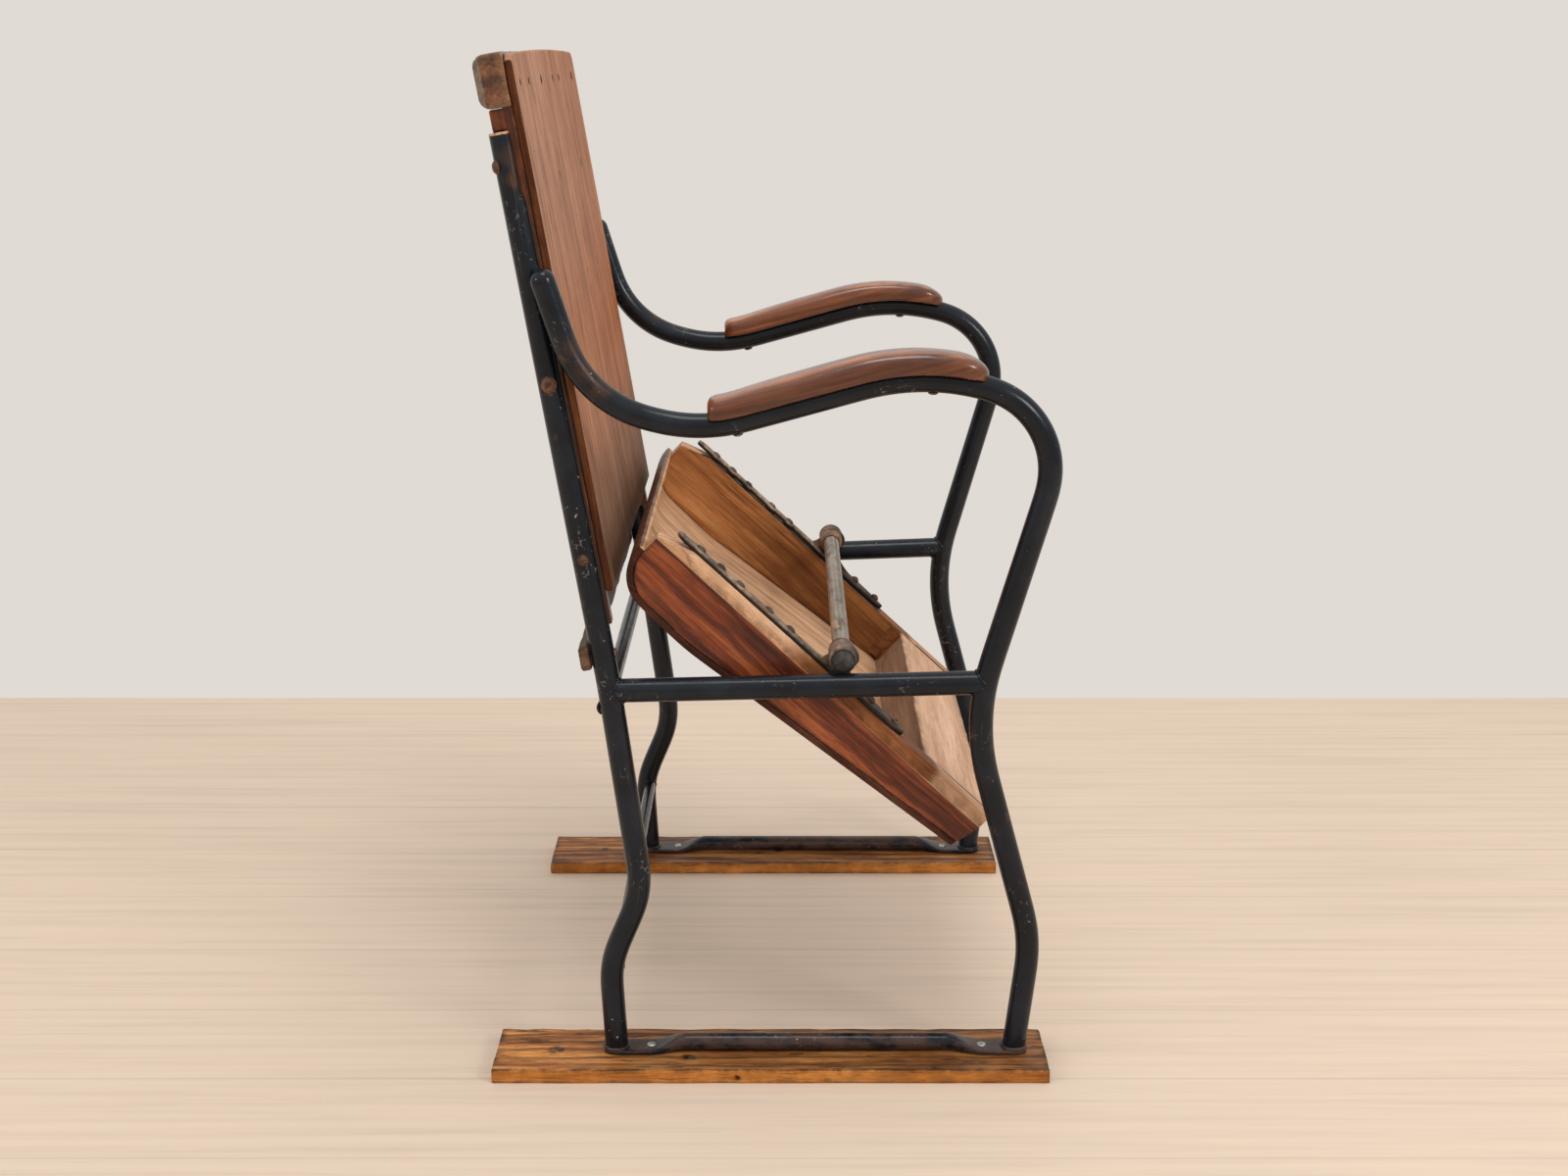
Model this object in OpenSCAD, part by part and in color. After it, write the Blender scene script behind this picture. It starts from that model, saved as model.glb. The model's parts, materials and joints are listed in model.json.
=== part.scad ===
// Tip-up chair on two skid boards, bent pipe frame, seat tipped up.
// Millimetres. +Z up, the sitter faces +X, the sitter's left is +Y.
// The origin is on the floor, in the middle of the skid boards.

/* [Frame pipe] */
// Outside diameter of the frame pipe
pipe_d = 21.3; // [19:0.1:24]
// Wall of the frame pipe
pipe_wall = 2.8; // [2:0.1:3.5]
// Distance between the side frames at the feet, centre to centre
frame_w = 498; // [470:1:560]

/* [Skid boards and foot ties] */
// Length of a skid board
board_l = 508; // [490:1:560]
// Width of a skid board
board_w = 84; // [60:1:110]
// Thickness of a skid board
board_t = 13; // [10:0.5:20]
// Thickness of the flattened ends of a foot tie
tie_t = 4.5; // [3:0.1:6]
// Width of the flattened ends of a foot tie
tie_w = 26; // [24:0.5:34]
// Diameter of the round middle of a foot tie
tie_d = 16; // [12:0.5:20]

/* [Back posts] */
// Foot of a back post, behind the middle of the boards
back_foot = 142.5; // [138:0.5:148]
// Height of the knee in the back post, just above the rung
knee_z = 365; // [355:1:375]
// Lean of the backrest from upright, in degrees
back_lean = 9.4; // [7:0.1:11]
// Height of the top of the back posts
post_top = 844; // [800:1:856]
// Radius of the two kicks low in the back post
kick_r = 90; // [70:5:100]
// Length of the cut at the top of the post where the stile passes
notch_l = 50; // [35:1:70]
// Depth of that cut, measured from the front of the pipe
notch_d = 3.9; // [3.2:0.1:5]

/* [Arms and front legs] */
// Foot of a front leg, ahead of the middle of the boards
front_foot = 225; // [215:0.5:232]
// Height of the corner that the crest of the arm is bent from
arm_crest = 646.7; // [635:0.1:660]
// Height of the lowest corner of the arm
arm_dip = 595.8; // [588:0.1:602]
// Height of the closed rear end of the arm
arm_end = 724; // [710:1:735]
// Gap between the rear end of the arm and the back post
lap_gap = 0.2; // [0.1:0.05:0.4]
// Radius of the front bend
front_bend_r = 75; // [60:1:78]

/* [Side rungs and cross tubes] */
// Height of the rung's axis at the back post
rung_z = 360.7; // [352:0.1:366]
// Rise of the rung from the back post to the front leg
rung_rise = 10.5; // [4:0.5:16]
// Diameter of the rear cross tube
rear_tube_d = 14; // [10:0.5:15]
// Diameter of the lower cross tube
low_tube_d = 12; // [9:0.5:16]
// Height of the rear cross tube
rear_tube_z = 345; // [335:1:346]
// Height of the lower cross tube
low_tube_z = 95; // [85:1:105]

/* [Pivot] */
// Pivot ahead of the middle of the boards
pivot_x = 64; // [58:0.5:70]
// Diameter of the pivot tube
pivot_d = 16; // [14:0.5:18]
// Wall of the pivot tube
pivot_wall = 2.6; // [1.5:0.1:3.5]
// Diameter of the end caps that lie on the rungs
cap_d = 19.5; // [18.8:0.1:22]
// Running clearance between a hub and the pivot tube, on the radius
hub_clear = 0.05; // [0.02:0.01:0.1]
// Turn of the seat from tipped up to in use, in degrees
tip = 137; // [125:1:140]

/* [Seat] */
// Clearance between the seat and the frame pipes at each side
seat_gap = 5.35; // [4:0.05:8]
// Reach of the seat in front of the pivot
seat_front = 203.5; // [190:0.5:212]
// Reach of the seat behind the pivot, at the side rails
seat_back = 197.5; // [182:0.5:198]
// Clearance between the seat's sweep and the rear cross tube
sweep_gap = 2; // [1:0.5:4]
// Bow of the seat's rear edge
seat_bow = 3; // [1:0.5:3.5]
// Height of the rails' underside above the pivot, in use
seat_under = 20.5; // [18:0.1:23]
// Height of the seat's rear edge above the pivot
seat_rear_h = 63; // [56:0.5:64]
// Height of the seat's crown above the pivot
seat_crown_h = 91; // [84:0.5:94]
// Thickness of the moulded seat panel
seat_ply = 6; // [4:0.5:8]
// Thickness of a seat side rail
rail_t = 28; // [24:0.5:34]
// Length of the block at the back of the seat
block_l = 72; // [50:1:90]
// Glue line between the seat's wooden pieces
glue = 0.1; // [0.05:0.05:0.3]

/* [Hinge brackets] */
// Thickness of a strap
strap_t = 5; // [4:0.5:5.5]
// Width of a strap
strap_w = 22; // [20:0.5:24]
// Reach of a strap towards the front
strap_front = 181; // [170:1:188]
// Reach of a strap towards the rear
strap_rear = 93; // [88:1:110]
// Outside diameter of a hub
hub_d = 25; // [23:0.1:25.4]
// Length of a hub
hub_l = 19.8; // [16:0.1:20.5]
// Length of the jaw that limits the turn
jaw_l = 6; // [4:0.5:7]
// Length of a stop collar behind its jaw
collar_l = 14; // [10:0.5:20]

/* [Backrest] */
// Height of the top of the backrest
back_top = 911; // [880:1:940]
// Height of the bottom of the back panel
back_bottom = 453; // [453:1:500]
// Thickness of the back panel
back_ply = 6.5; // [4:0.5:9]
// Overhang of the back panel past the post's axis, at each side
back_over = 4; // [2.5:0.5:8]
// Front of the stiles ahead of the post's axis
stile_front = 13.5; // [12.5:0.1:16]
// Width of a stile
stile_w = 14; // [11:0.5:16]
// Length that the stile hangs below the panel
stile_drop = 29; // [10:1:32]
// Height of the top batten
batten_h = 45; // [30:1:52]
// Depth of the top batten
batten_d = 26; // [18:0.5:30]

/* [Arm pads] */
// Width of an arm pad
pad_w = 42; // [34:0.5:50]
// Greatest thickness of an arm pad over the pipe
pad_h = 17; // [12:0.5:22]
// Depth of the groove that sits over the pipe
pad_groove = 4.5; // [3:0.5:8]
// Clearance between the groove and the pipe
pad_gap = 0.2; // [0.1:0.05:0.4]

/* [Screws] */
// Shank of the wood screws and bolts
screw_d = 5; // [4:0.1:6]
// Head of a countersunk panel screw
screw_head_d = 8; // [6.5:0.5:10]
// Clearance of a shank in its hole, on the radius
screw_gap = 0.1; // [0.05:0.05:0.3]

/* [Hidden] */
$fn = 64;

BLACK = [0.09, 0.10, 0.11];
IRON = [0.27, 0.24, 0.21];
STEEL = [0.45, 0.42, 0.37];
WALNUT = [0.45, 0.27, 0.18];
DARK = [0.30, 0.15, 0.09];
MAHOGANY = [0.36, 0.13, 0.07];
RAW = [0.66, 0.45, 0.28];
SKID = [0.52, 0.30, 0.12];

far = 900;                          // reach of cutting shapes
swell = 0.1;                        // a bend is this much fatter than the straight pipe
half_w = frame_w/2;
foot_z = board_t + tie_t;           // the pipes stand on the tie ends
pipe_r = pipe_d/2;
post_inner = half_w - pipe_r;       // inner face of the posts
weld_gap = 0.15;                    // coped ends clear the pipe they meet by this much

// Centre line of a back post, in X and Z: foot, two kicks, knee, top
knee_x = -back_foot;
post_top_x = knee_x - (post_top - knee_z)*tan(back_lean);
post_pts = [[-back_foot, foot_z], [-back_foot - 4.5, foot_z + 82.5],
            [-back_foot + 26, foot_z + 153.5], [knee_x, knee_z], [post_top_x, post_top]];
post_rad = [kick_r, kick_r, 300];

// Centre line of an arm and front leg, in X and Z in its own leaning plane
lap_x = 12.8;                       // the arm's end lies this far ahead of the post's axis
arm_end_x = knee_x - (arm_end - knee_z)*tan(back_lean) + lap_x;
arm_pts = [[front_foot, foot_z], [front_foot + 12, foot_z + 107], [front_foot - 46, foot_z + 318.5],
           [front_foot + 34.5, arm_crest - 29.7], [front_foot - 99.3, arm_crest],
           [-59.3, arm_dip], [arm_end_x + 32.3, arm_end - 102], [arm_end_x, arm_end]];
arm_rad = [150, 200, front_bend_r, 195, 145, 98];
lap_y = sqrt(pow(pipe_d + lap_gap, 2) - pow(lap_x*cos(back_lean), 2));
arm_lean = asin(lap_y/(arm_end - foot_z));
function arm_y(z) = half_w + (z - foot_z)*tan(arm_lean);

// Rung: from the post's axis to the waist of the front leg
rung_a = [knee_x + (knee_z - rung_z)*tan(7), half_w, rung_z];
rung_b = [front_foot - 35, arm_y(rung_z + rung_rise), rung_z + rung_rise];
rung_u = (rung_b - rung_a)/norm(rung_b - rung_a);
rung_tilt = asin(rung_u[2]);
rung_turn = atan2(rung_u[1], rung_u[0]);
rung_pivot = rung_a + rung_u*(pivot_x - rung_a[0])/rung_u[0];

// Pivot: the caps lie on top of the rungs
pivot_z = rung_pivot[2] + pipe_r/cos(rung_tilt) + cap_d/2 + 0.05;
cap_in = rung_pivot[1] - 8.2;       // inner face of a cap
cap_out = rung_pivot[1] + 1.8;      // tip of its dome
hub_out = cap_in - 0.3;             // outer face of a hub
hub_in = hub_out - hub_l;
jaw_gap = 0.3;
jaw_in = hub_in - jaw_l;            // inner end of the jaws
collar_in = jaw_in - collar_l;
hub_bore = pivot_d/2 + hub_clear;
hub_tooth = 160;                    // width of the hub's tooth, in degrees
stop_play = 0.4;                    // play at each end of the turn, in degrees
hub_tooth_a = -60;                  // where it starts with the seat tipped up

// Seat, drawn level as in use: X towards the front and Z up, from the pivot
seat_half = post_inner - seat_gap;
rail_in = seat_half - rail_t;
strap_y = seat_half - 2 - strap_w/2;
seat_pts = [[-seat_back - 0.5, seat_rear_h], [seat_front - 95.5, seat_crown_h],
            [seat_front, seat_crown_h - 3.5], [seat_front - 4, seat_crown_h - 44]];
seat_rad = [250, 38];
sweep_r = seat_back + seat_bow + 4.7;  // greatest reach of the seat's rear end
under_break = seat_front - 43.5;    // where the rails' underside starts to rise
screw_u = [for (f = [0.862, 0.729, 0.602, 0.409, 0.265]) f*strap_front, -0.538*strap_rear, -0.86*strap_rear];

// Backrest frame: origin at the knee, X forward off the post's axis, Z along the post
back_half = half_w + back_over;
up_cos = cos(back_lean);
panel_front = stile_front + back_ply;
s_top = (back_top - knee_z - panel_front*sin(back_lean))/up_cos;
s_bottom = (back_bottom - knee_z - panel_front*sin(back_lean))/up_cos;
s_post = (post_top - knee_z)/up_cos;
s_notch = s_post - notch_l;
stile_in = back_half - stile_w;
notch_t = pipe_r - notch_d;         // face of the notch, off the post's axis
stile_rear = -6.5;

function seg_ang(p, q) = atan2(q[1] - p[1], q[0] - p[0]);
function turn(p, q, r) = let(a = seg_ang(q, r) - seg_ang(p, q)) a > 180 ? a - 360 : a < -180 ? a + 360 : a;
function tan_len(p, q, r, R) = R*abs(tan(turn(p, q, r)/2));
function unit(v) = v/norm(v);
function bend_start(p, q, r, R) = q - tan_len(p, q, r, R)*unit(q - p);
function bend_side(p, q, r) = let(a = seg_ang(p, q)) turn(p, q, r) > 0 ? [-sin(a), cos(a)] : [sin(a), -cos(a)];
function bend_mid(p, q, r, R) = bend_start(p, q, r, R) + R*bend_side(p, q, r);

// Points of a rounded corner, shifted off the line to its left by o
function corner(p, q, r, R, o, n) = let(t = turn(p, q, r), c = bend_mid(p, q, r, R), a = seg_ang(p, q),
    k = t > 0 ? R - o : -(R + o)) [for (i = [0:n]) c + k*[sin(a + t*i/n), -cos(a + t*i/n)]];
function left_of(p, q) = let(a = seg_ang(p, q)) [-sin(a), cos(a)];
// A whole line of rounded corners, shifted to its left by o
function offset_line(pts, rad, o, n) = let(m = len(pts)) concat(
  [pts[0] + o*left_of(pts[0], pts[1])],
  [for (i = [1:m - 2]) each corner(pts[i - 1], pts[i], pts[i + 1], rad[i - 1], o, n)],
  [pts[m - 1] + o*left_of(pts[m - 2], pts[m - 1])]);
function reversed(v) = [for (i = [len(v) - 1:-1:0]) v[i]];

// One straight length of pipe from p to q, run on by e at each end
module run(p, q, d, e0, e1) {
  u = unit(q - p);
  s = p - e0*u;
  translate([s[0], 0, s[1]]) rotate([0, 90 - seg_ang(p, q), 0]) cylinder(d = d, h = norm(q - p) + e0 + e1);
}
module bend(p, q, r, R, d) {
  t = turn(p, q, r);
  s = bend_start(p, q, r, R);
  c = bend_mid(p, q, r, R);
  b = atan2(s[1] - c[1], s[0] - c[0]);
  translate([c[0], 0, c[1]]) rotate([90, 0, 0]) rotate([0, 0, t > 0 ? b : b + t])
    rotate_extrude(angle = abs(t)) translate([R, 0]) circle(d = d);
}
// Bent pipe: straight lengths that run into slightly fatter bends
module bent(pts, rad, d) {
  n = len(pts);
  for (i = [0:n - 2]) {
    u = unit(pts[i + 1] - pts[i]);
    ta = i == 0 ? 0 : tan_len(pts[i - 1], pts[i], pts[i + 1], rad[i - 1]);
    tb = i == n - 2 ? 0 : tan_len(pts[i], pts[i + 1], pts[i + 2], rad[i]);
    run(pts[i] + ta*u, pts[i + 1] - tb*u, d, i == 0 ? 0 : 1, i == n - 2 ? 0 : 1);
  }
  for (i = [1:n - 2]) bend(pts[i - 1], pts[i], pts[i + 1], rad[i - 1], d + swell);
}
// The same line with its ends drawn in by a and b
function shorten(pts, a, b) = let(n = len(pts)) [for (i = [0:n - 1])
  i == 0 ? pts[0] + a*unit(pts[1] - pts[0]) : i == n - 1 ? pts[n - 1] - b*unit(pts[n - 1] - pts[n - 2]) : pts[i]];

module right_side() mirror([0, 1, 0]) children();
module both() { children(); mirror([0, 1, 0]) children(); }
module lean_out() translate([0, half_w, foot_z]) rotate([-arm_lean, 0, 0]) translate([0, 0, -foot_z]) children();
module on_post() translate([knee_x, 0, knee_z]) rotate([0, -back_lean, 0]) children();
module on_seat() translate([pivot_x, 0, pivot_z]) rotate([0, -tip, 0]) children();
// A round bar along +Y from y0 to y1
module bar_y(d, y0, y1) translate([0, y0, 0]) rotate([-90, 0, 0]) cylinder(d = d, h = y1 - y0);
module box(x0, x1, y0, y1, z0, z1) translate([x0, y0, z0]) cube([x1 - x0, y1 - y0, z1 - z0]);
// Round-headed screw: head on +Z above the origin, shank below
module screw(head_d, head_h, d, l) {
  cylinder(d1 = head_d, d2 = head_d*0.62, h = head_h);
  translate([0, 0, -l]) cylinder(d = d, h = l + 0.5);
}
module hole(l) translate([0, 0, -l]) cylinder(d = screw_d + 2*screw_gap, h = l + 1);

// Screw places
tie_screw_x = [-back_foot + 32, front_foot - 30];
module at_tie_screws() for (x = tie_screw_x) translate([x, half_w, foot_z]) children();
board_screw_at = [[-board_l/2 + 59, 1], [-board_l/2 + 182, 17]];
module at_board_screws() for (p = board_screw_at) translate([p[0], half_w + p[1], board_t]) children();
pad_screw_x = [-27, 138];
pad_screw_z = [arm_dip + 8, arm_crest - 4.5];

module skid_board() color(SKID) difference() {
  box(-board_l/2, board_l/2, half_w - board_w/2, half_w + board_w/2, 0, board_t);
  at_tie_screws() hole(tie_t + 9);
  at_board_screws() hole(8);
}

// Pipe flattened at both ends: two plates, a round middle and the tapers between
tie_x0 = -back_foot - 11.5;
tie_x1 = front_foot + 12;
tie_mid0 = -back_foot + 67;
tie_mid1 = front_foot - 62;
module foot_tie() color(BLACK) difference() {
  translate([0, half_w, 0]) union() {
    box(tie_x0, tie_mid0 - 17, -tie_w/2, tie_w/2, board_t, foot_z);
    box(tie_mid1 + 17, tie_x1, -tie_w/2, tie_w/2, board_t, foot_z);
    translate([tie_mid0, 0, board_t + tie_d/2]) rotate([0, 90, 0]) cylinder(d = tie_d, h = tie_mid1 - tie_mid0);
    for (e = [[tie_mid0, -1], [tie_mid1, 1]]) hull() {
      translate([e[0], 0, board_t + tie_d/2]) rotate([0, 90, 0]) cylinder(d = tie_d, h = 0.5, center = true, $fn = 32);
      translate([e[0] + e[1]*17, 0, board_t + tie_t/2]) cube([1, tie_w, tie_t], center = true);
    }
  }
  at_tie_screws() hole(far);
}

// Back post with its bore, the cut at the top and the bolt holes
post_bolt_z = [482, 635.4];
top_bolt_s = s_post - 27;
top_bolt_out = 33;
function post_x(z) = knee_x - (z - knee_z)*tan(back_lean);
module at_post_bolts() for (z = post_bolt_z) translate([post_x(z), half_w, z]) rotate([-90, 0, 0]) children();
module at_top_bolt() on_post() translate([0, half_w, top_bolt_s]) rotate([0, -90, -top_bolt_out]) children();
slat_z = 394;
slat_s = (slat_z - knee_z)/cos(back_lean);
module at_slat_bolt() on_post() translate([0, half_w, slat_s]) rotate([0, 90, 0]) children();
module back_post() color(BLACK) difference() {
  translate([0, half_w, 0]) bent(shorten(post_pts, -4, 0), post_rad, pipe_d);
  translate([0, half_w, 0]) bent(shorten(post_pts, 3, -5), post_rad, pipe_d - 2*pipe_wall);
  under_foot();
  on_post() box(notch_t, 20, half_w - 20, half_w + 20, s_notch, s_post + 10);
  at_post_bolts() translate([0, 0, -20]) hole_through(40);
  at_top_bolt() hole_through(pipe_d);
  at_slat_bolt() translate([0, 0, -20]) hole_through(40);
}
// What is sawn off below a pipe's foot, so that it stands level on the tie
module under_foot() box(-far, far, 0, far, -far/2, foot_z + weld_gap);
module hole_through(l) cylinder(d = screw_d + 2*screw_gap, h = l);

// Arm and front leg, one pipe with a closed, rounded rear end
module arm_end_dome() translate([arm_pts[7][0], 0, arm_pts[7][1]])
  rotate([0, 90 - seg_ang(arm_pts[6], arm_pts[7]), 0]) translate([0, 0, -0.5]) sphere(d = pipe_d - swell);
module arm_leg_tube() color(BLACK) difference() {
  lean_out() difference() {
    union() { bent(shorten(arm_pts, -4, 0), arm_rad, pipe_d); arm_end_dome(); }
    bent(shorten(arm_pts, 3, 2), arm_rad, pipe_d - 2*pipe_wall);
    for (i = [0, 1]) translate([pad_screw_x[i], 0, pad_screw_z[i] - 20]) hole_through(40);
  }
  under_foot();
}

// Rung, coped to the post and to the leg
module side_rung() color(BLACK) difference() {
  translate(rung_a) rotate([0, 0, rung_turn]) rotate([0, 90 - rung_tilt, 0]) difference() {
    cylinder(d = pipe_d, h = norm(rung_b - rung_a));
    translate([0, 0, pipe_d]) cylinder(d = pipe_d - 2*pipe_wall, h = norm(rung_b - rung_a) - 2*pipe_d);
  }
  translate([0, half_w, 0]) run(post_pts[2], post_pts[3], pipe_d + 2*weld_gap + swell, 0, 40);
  lean_out() bend(arm_pts[1], arm_pts[2], arm_pts[3], arm_rad[1], pipe_d + 2*weld_gap + swell);
}

// Cross tubes between the back posts, coped to them
rear_tube_x = pivot_x - sqrt(pow(sweep_r + rear_tube_d/2 + sweep_gap, 2) - pow(pivot_z - rear_tube_z, 2));
low_tube_x = -back_foot + 1.5;
module rear_cross_tube() color(BLACK) difference() {
  translate([rear_tube_x, 0, rear_tube_z]) bar_y(rear_tube_d, -half_w + 4, half_w - 4);
  both() translate([0, half_w, 0]) run(post_pts[2], post_pts[3], pipe_d + 2*weld_gap + swell, 0, 40);
}
module lower_cross_tube() color(BLACK) difference() {
  translate([low_tube_x, 0, low_tube_z]) bar_y(low_tube_d, -half_w + 4, half_w - 4);
  both() translate([0, half_w, 0]) {
    bend(post_pts[0], post_pts[1], post_pts[2], post_rad[0], pipe_d + 2*weld_gap + swell);
    run(post_pts[0], post_pts[1], pipe_d + 2*weld_gap, 0, -22);
  }
}

// Pivot tube and the domed caps that lie on the rungs
module pivot_tube() color(STEEL) translate([pivot_x, 0, pivot_z]) difference() {
  bar_y(pivot_d, -cap_out + 4, cap_out - 4);
  bar_y(pivot_d - 2*pivot_wall, -cap_out + 8, cap_out - 8);
}
module pivot_caps() color(STEEL) both() translate([pivot_x, 0, pivot_z]) difference() {
  intersection() {
    bar_y(cap_d, cap_in, cap_out + 1);
    translate([0, cap_out - cap_d*0.72, 0]) sphere(d = cap_d*1.44);
  }
  bar_y(pivot_d + 0.1, cap_in - 1, cap_out - 3.9);
}

// Part of a ring about the pivot from y0 to y1, between two angles from +X towards +Z
module sector(a0, a1, r) polygon(concat([[0, 0]], [for (i = [0:6]) let(a = a0 + (a1 - a0)*i/6) r*[cos(a), sin(a)]]));
module ring_part(d_out, d_in, y0, y1, a0, a1) translate([0, y1, 0]) rotate([90, 0, 0]) intersection() {
  difference() { cylinder(d = d_out, h = y1 - y0); translate([0, 0, -1]) cylinder(d = d_in, h = y1 - y0 + 2); }
  translate([0, 0, -1]) linear_extrude(y1 - y0 + 2) sector(a0, a1, d_out);
}

// Stop collars, fixed on the tube: a ring, a taper and a tooth towards the hub
collar_d = hub_d - 1;
stop_a0 = hub_tooth_a + hub_tooth + stop_play;
stop_a1 = hub_tooth_a + 360 - tip - stop_play;
module stop_collar() translate([pivot_x, 0, pivot_z]) union() {
  difference() {
    union() {
      bar_y(collar_d, collar_in + 5, jaw_in - jaw_gap);
      translate([0, collar_in, 0]) rotate([-90, 0, 0]) cylinder(d1 = pivot_d + 2.5, d2 = collar_d, h = 5);
    }
    bar_y(pivot_d + 0.1, collar_in - 1, jaw_in + 1);
  }
  ring_part(collar_d, pivot_d + 0.1, jaw_in - jaw_gap - 0.5, hub_in - jaw_gap, stop_a0, stop_a1);
}
module stop_collars() color(IRON) both() stop_collar();

// Arm pad: a band that follows the pipe, rounded in plan, grooved underneath
pad_x0 = -52;
pad_x1 = front_foot - 43;
pad_line = [arm_pts[3], arm_pts[4], arm_pts[5], arm_pts[6]];
pad_low = pipe_r - pad_groove;
pad_rad = [arm_rad[3] + 5, arm_rad[4] + 5];  // the wood is sawn a little slacker than the pipe
function pad_keep(v) = [for (p = v) if (p[0] > pad_x0 + 4 && p[0] < pad_x1 - 14) p];
function pad_crown(x) = let(f = (x - pad_x0)/(pad_x1 - pad_x0)) pad_h*(0.80 + 0.20*sin(180*pow(f, 0.9)));
pad_under = pad_keep(offset_line(pad_line, pad_rad, -pad_low, 14));
pad_over = [for (p = pad_keep(offset_line(pad_line, pad_rad, -pipe_r, 14))) p + [0, pad_crown(p[0])]];
pad_rear_z = arm_dip + 11;
module pad_outline() polygon(concat(
  [[pad_x1 - 2, pad_under[0][1] - 3], [pad_x1, pad_under[0][1] + 3], [pad_x1 - 8, pad_over[0][1] - 6]],
  pad_over,
  [[pad_x0 + 2, pad_rear_z + pad_h - 3], [pad_x0, pad_rear_z + pad_h - 7], [pad_x0, pad_rear_z]],
  reversed(pad_under)));
module pad_plan() {
  translate([pad_x0 + 8, -pad_w/2]) square([pad_x1 - pad_x0 - 26, pad_w]);
  translate([pad_x0, -pad_w/2 + 8]) square([30, pad_w - 16]);
  for (s = [-1, 1]) translate([pad_x0 + 8, s*(pad_w/2 - 8)]) circle(r = 8);
  translate([pad_x1 - pad_w/2, 0]) circle(d = pad_w - 0.02);
}
module arm_pad() color(DARK) lean_out() difference() {
  intersection() {
    translate([0, pad_w/2, 0]) rotate([90, 0, 0]) linear_extrude(pad_w) pad_outline();
    translate([0, 0, arm_dip]) linear_extrude(110) pad_plan();
  }
  bent(arm_pts, arm_rad, pipe_d + 2*pad_gap);
  for (i = [0, 1]) translate([pad_screw_x[i], 0, pad_screw_z[i]]) hole_through(pipe_r + pad_h*0.6);
}
module pad_screws() color(IRON) both() lean_out() for (i = [0, 1]) {
  k = i == 0 ? 5 : 4;
  difference() {
    translate([pad_screw_x[i], 0, pad_screw_z[i] - pipe_r - 2.4]) cylinder(d1 = 6, d2 = 10, h = 4);
    bend(arm_pts[k - 1], arm_pts[k], arm_pts[k + 1], arm_rad[k - 1], pipe_d + swell + 2*screw_gap);
  }
  translate([pad_screw_x[i], 0, pad_screw_z[i] - pipe_r - 2.3]) cylinder(d = screw_d, h = 2*pipe_r + pad_h*0.5);
}

// Backrest: panel, stiles coped to the posts, batten, all leaning with the posts
module back_panel() color(WALNUT) on_post() difference() {
  translate([stile_front, -back_half, s_bottom]) intersection() {
    cube([back_ply, 2*back_half, s_top - s_bottom]);
    translate([-1, back_half, 0]) rotate([0, 90, 0]) rotate([0, 0, 90]) linear_extrude(back_ply + 2) panel_face();
  }
  at_panel_screws() { hole(back_ply + 1); translate([0, 0, -1.3]) cylinder(d = screw_head_d + 2*screw_gap, h = 3); }
}
// Outline of the panel: straight foot, rounded top corners
module panel_face() {
  h = s_top - s_bottom;
  translate([-back_half, 0]) square([2*back_half, h - 12]);
  translate([-back_half + 12, 0]) square([2*back_half - 24, h]);
  for (s = [-1, 1]) translate([s*(back_half - 12), h - 12]) circle(r = 12);
}
panel_screw_y = [for (f = [-0.874, -0.636, -0.261, 0.115, 0.336, 0.83]) f*back_half];
module at_panel_screws() for (y = panel_screw_y) translate([panel_front, y, s_top - batten_h*0.6]) rotate([0, 90, 0]) children();
module back_stile() color(MAHOGANY) difference() {
  on_post() difference() {
    union() {
      box(3, stile_front, stile_in, back_half, s_bottom - stile_drop, s_top - 1);
      box(stile_rear, 3.5, stile_in, back_half, s_post + 0.3, s_top - batten_h - 0.3);
    }
    box(-1, notch_t + 0.1, half_w - 40, half_w + 20, s_notch - 0.3, s_post + 0.3);
    translate([0, half_w, -100]) cylinder(d = pipe_d + 2*weld_gap, h = s_notch + 100);
    box(-40, stile_front - 6, stile_in - 1, back_half + 1, s_top - batten_h - 0.3, s_top + 1);
  }
  at_top_bolt() translate([0, 0, -20]) hole_through(20);
}
module top_batten() color(DARK) on_post() difference() {
  translate([stile_front - 0.1 - batten_d, -back_half - 2, s_top - batten_h]) union() {
    cube([batten_d, 2*back_half + 4, batten_h - 8]);
    translate([8, 0, 0]) cube([batten_d - 8, 2*back_half + 4, batten_h - 0.5]);
    translate([8, 0, batten_h - 8.5]) bar_y(16 - 0.02, 0, 2*back_half + 4);
  }
  both() box(stile_front - 6.1, stile_front + 1, stile_in - 0.1, back_half + 3, s_top - batten_h - 1, s_top + 1);
  at_panel_screws() hole(back_ply + 13);
}
module panel_screws() color(IRON) on_post() at_panel_screws() {
  translate([0, 0, -1.2]) cylinder(d = screw_head_d, h = 1.2);
  translate([0, 0, -back_ply - 12]) cylinder(d = screw_d, h = back_ply + 11.5);
}
module post_bolts() color(IRON) both() {
  at_post_bolts() {
    translate([0, 0, -pipe_r - 1.2]) cylinder(d = screw_d, h = 2*pipe_r + 1.8);
    translate([0, 0, pipe_r + 0.15]) cylinder(d1 = 12, d2 = 7, h = 2.6);
    translate([0, 0, -pipe_r - 3.4]) cylinder(d = 8, h = 3.2);
  }
  at_top_bolt() {
    translate([0, 0, -3]) cylinder(d = screw_d, h = pipe_r + 3.6);
    translate([0, 0, pipe_r + 0.15]) cylinder(d1 = 11, d2 = 7, h = 2.4);
  }
}

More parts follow.
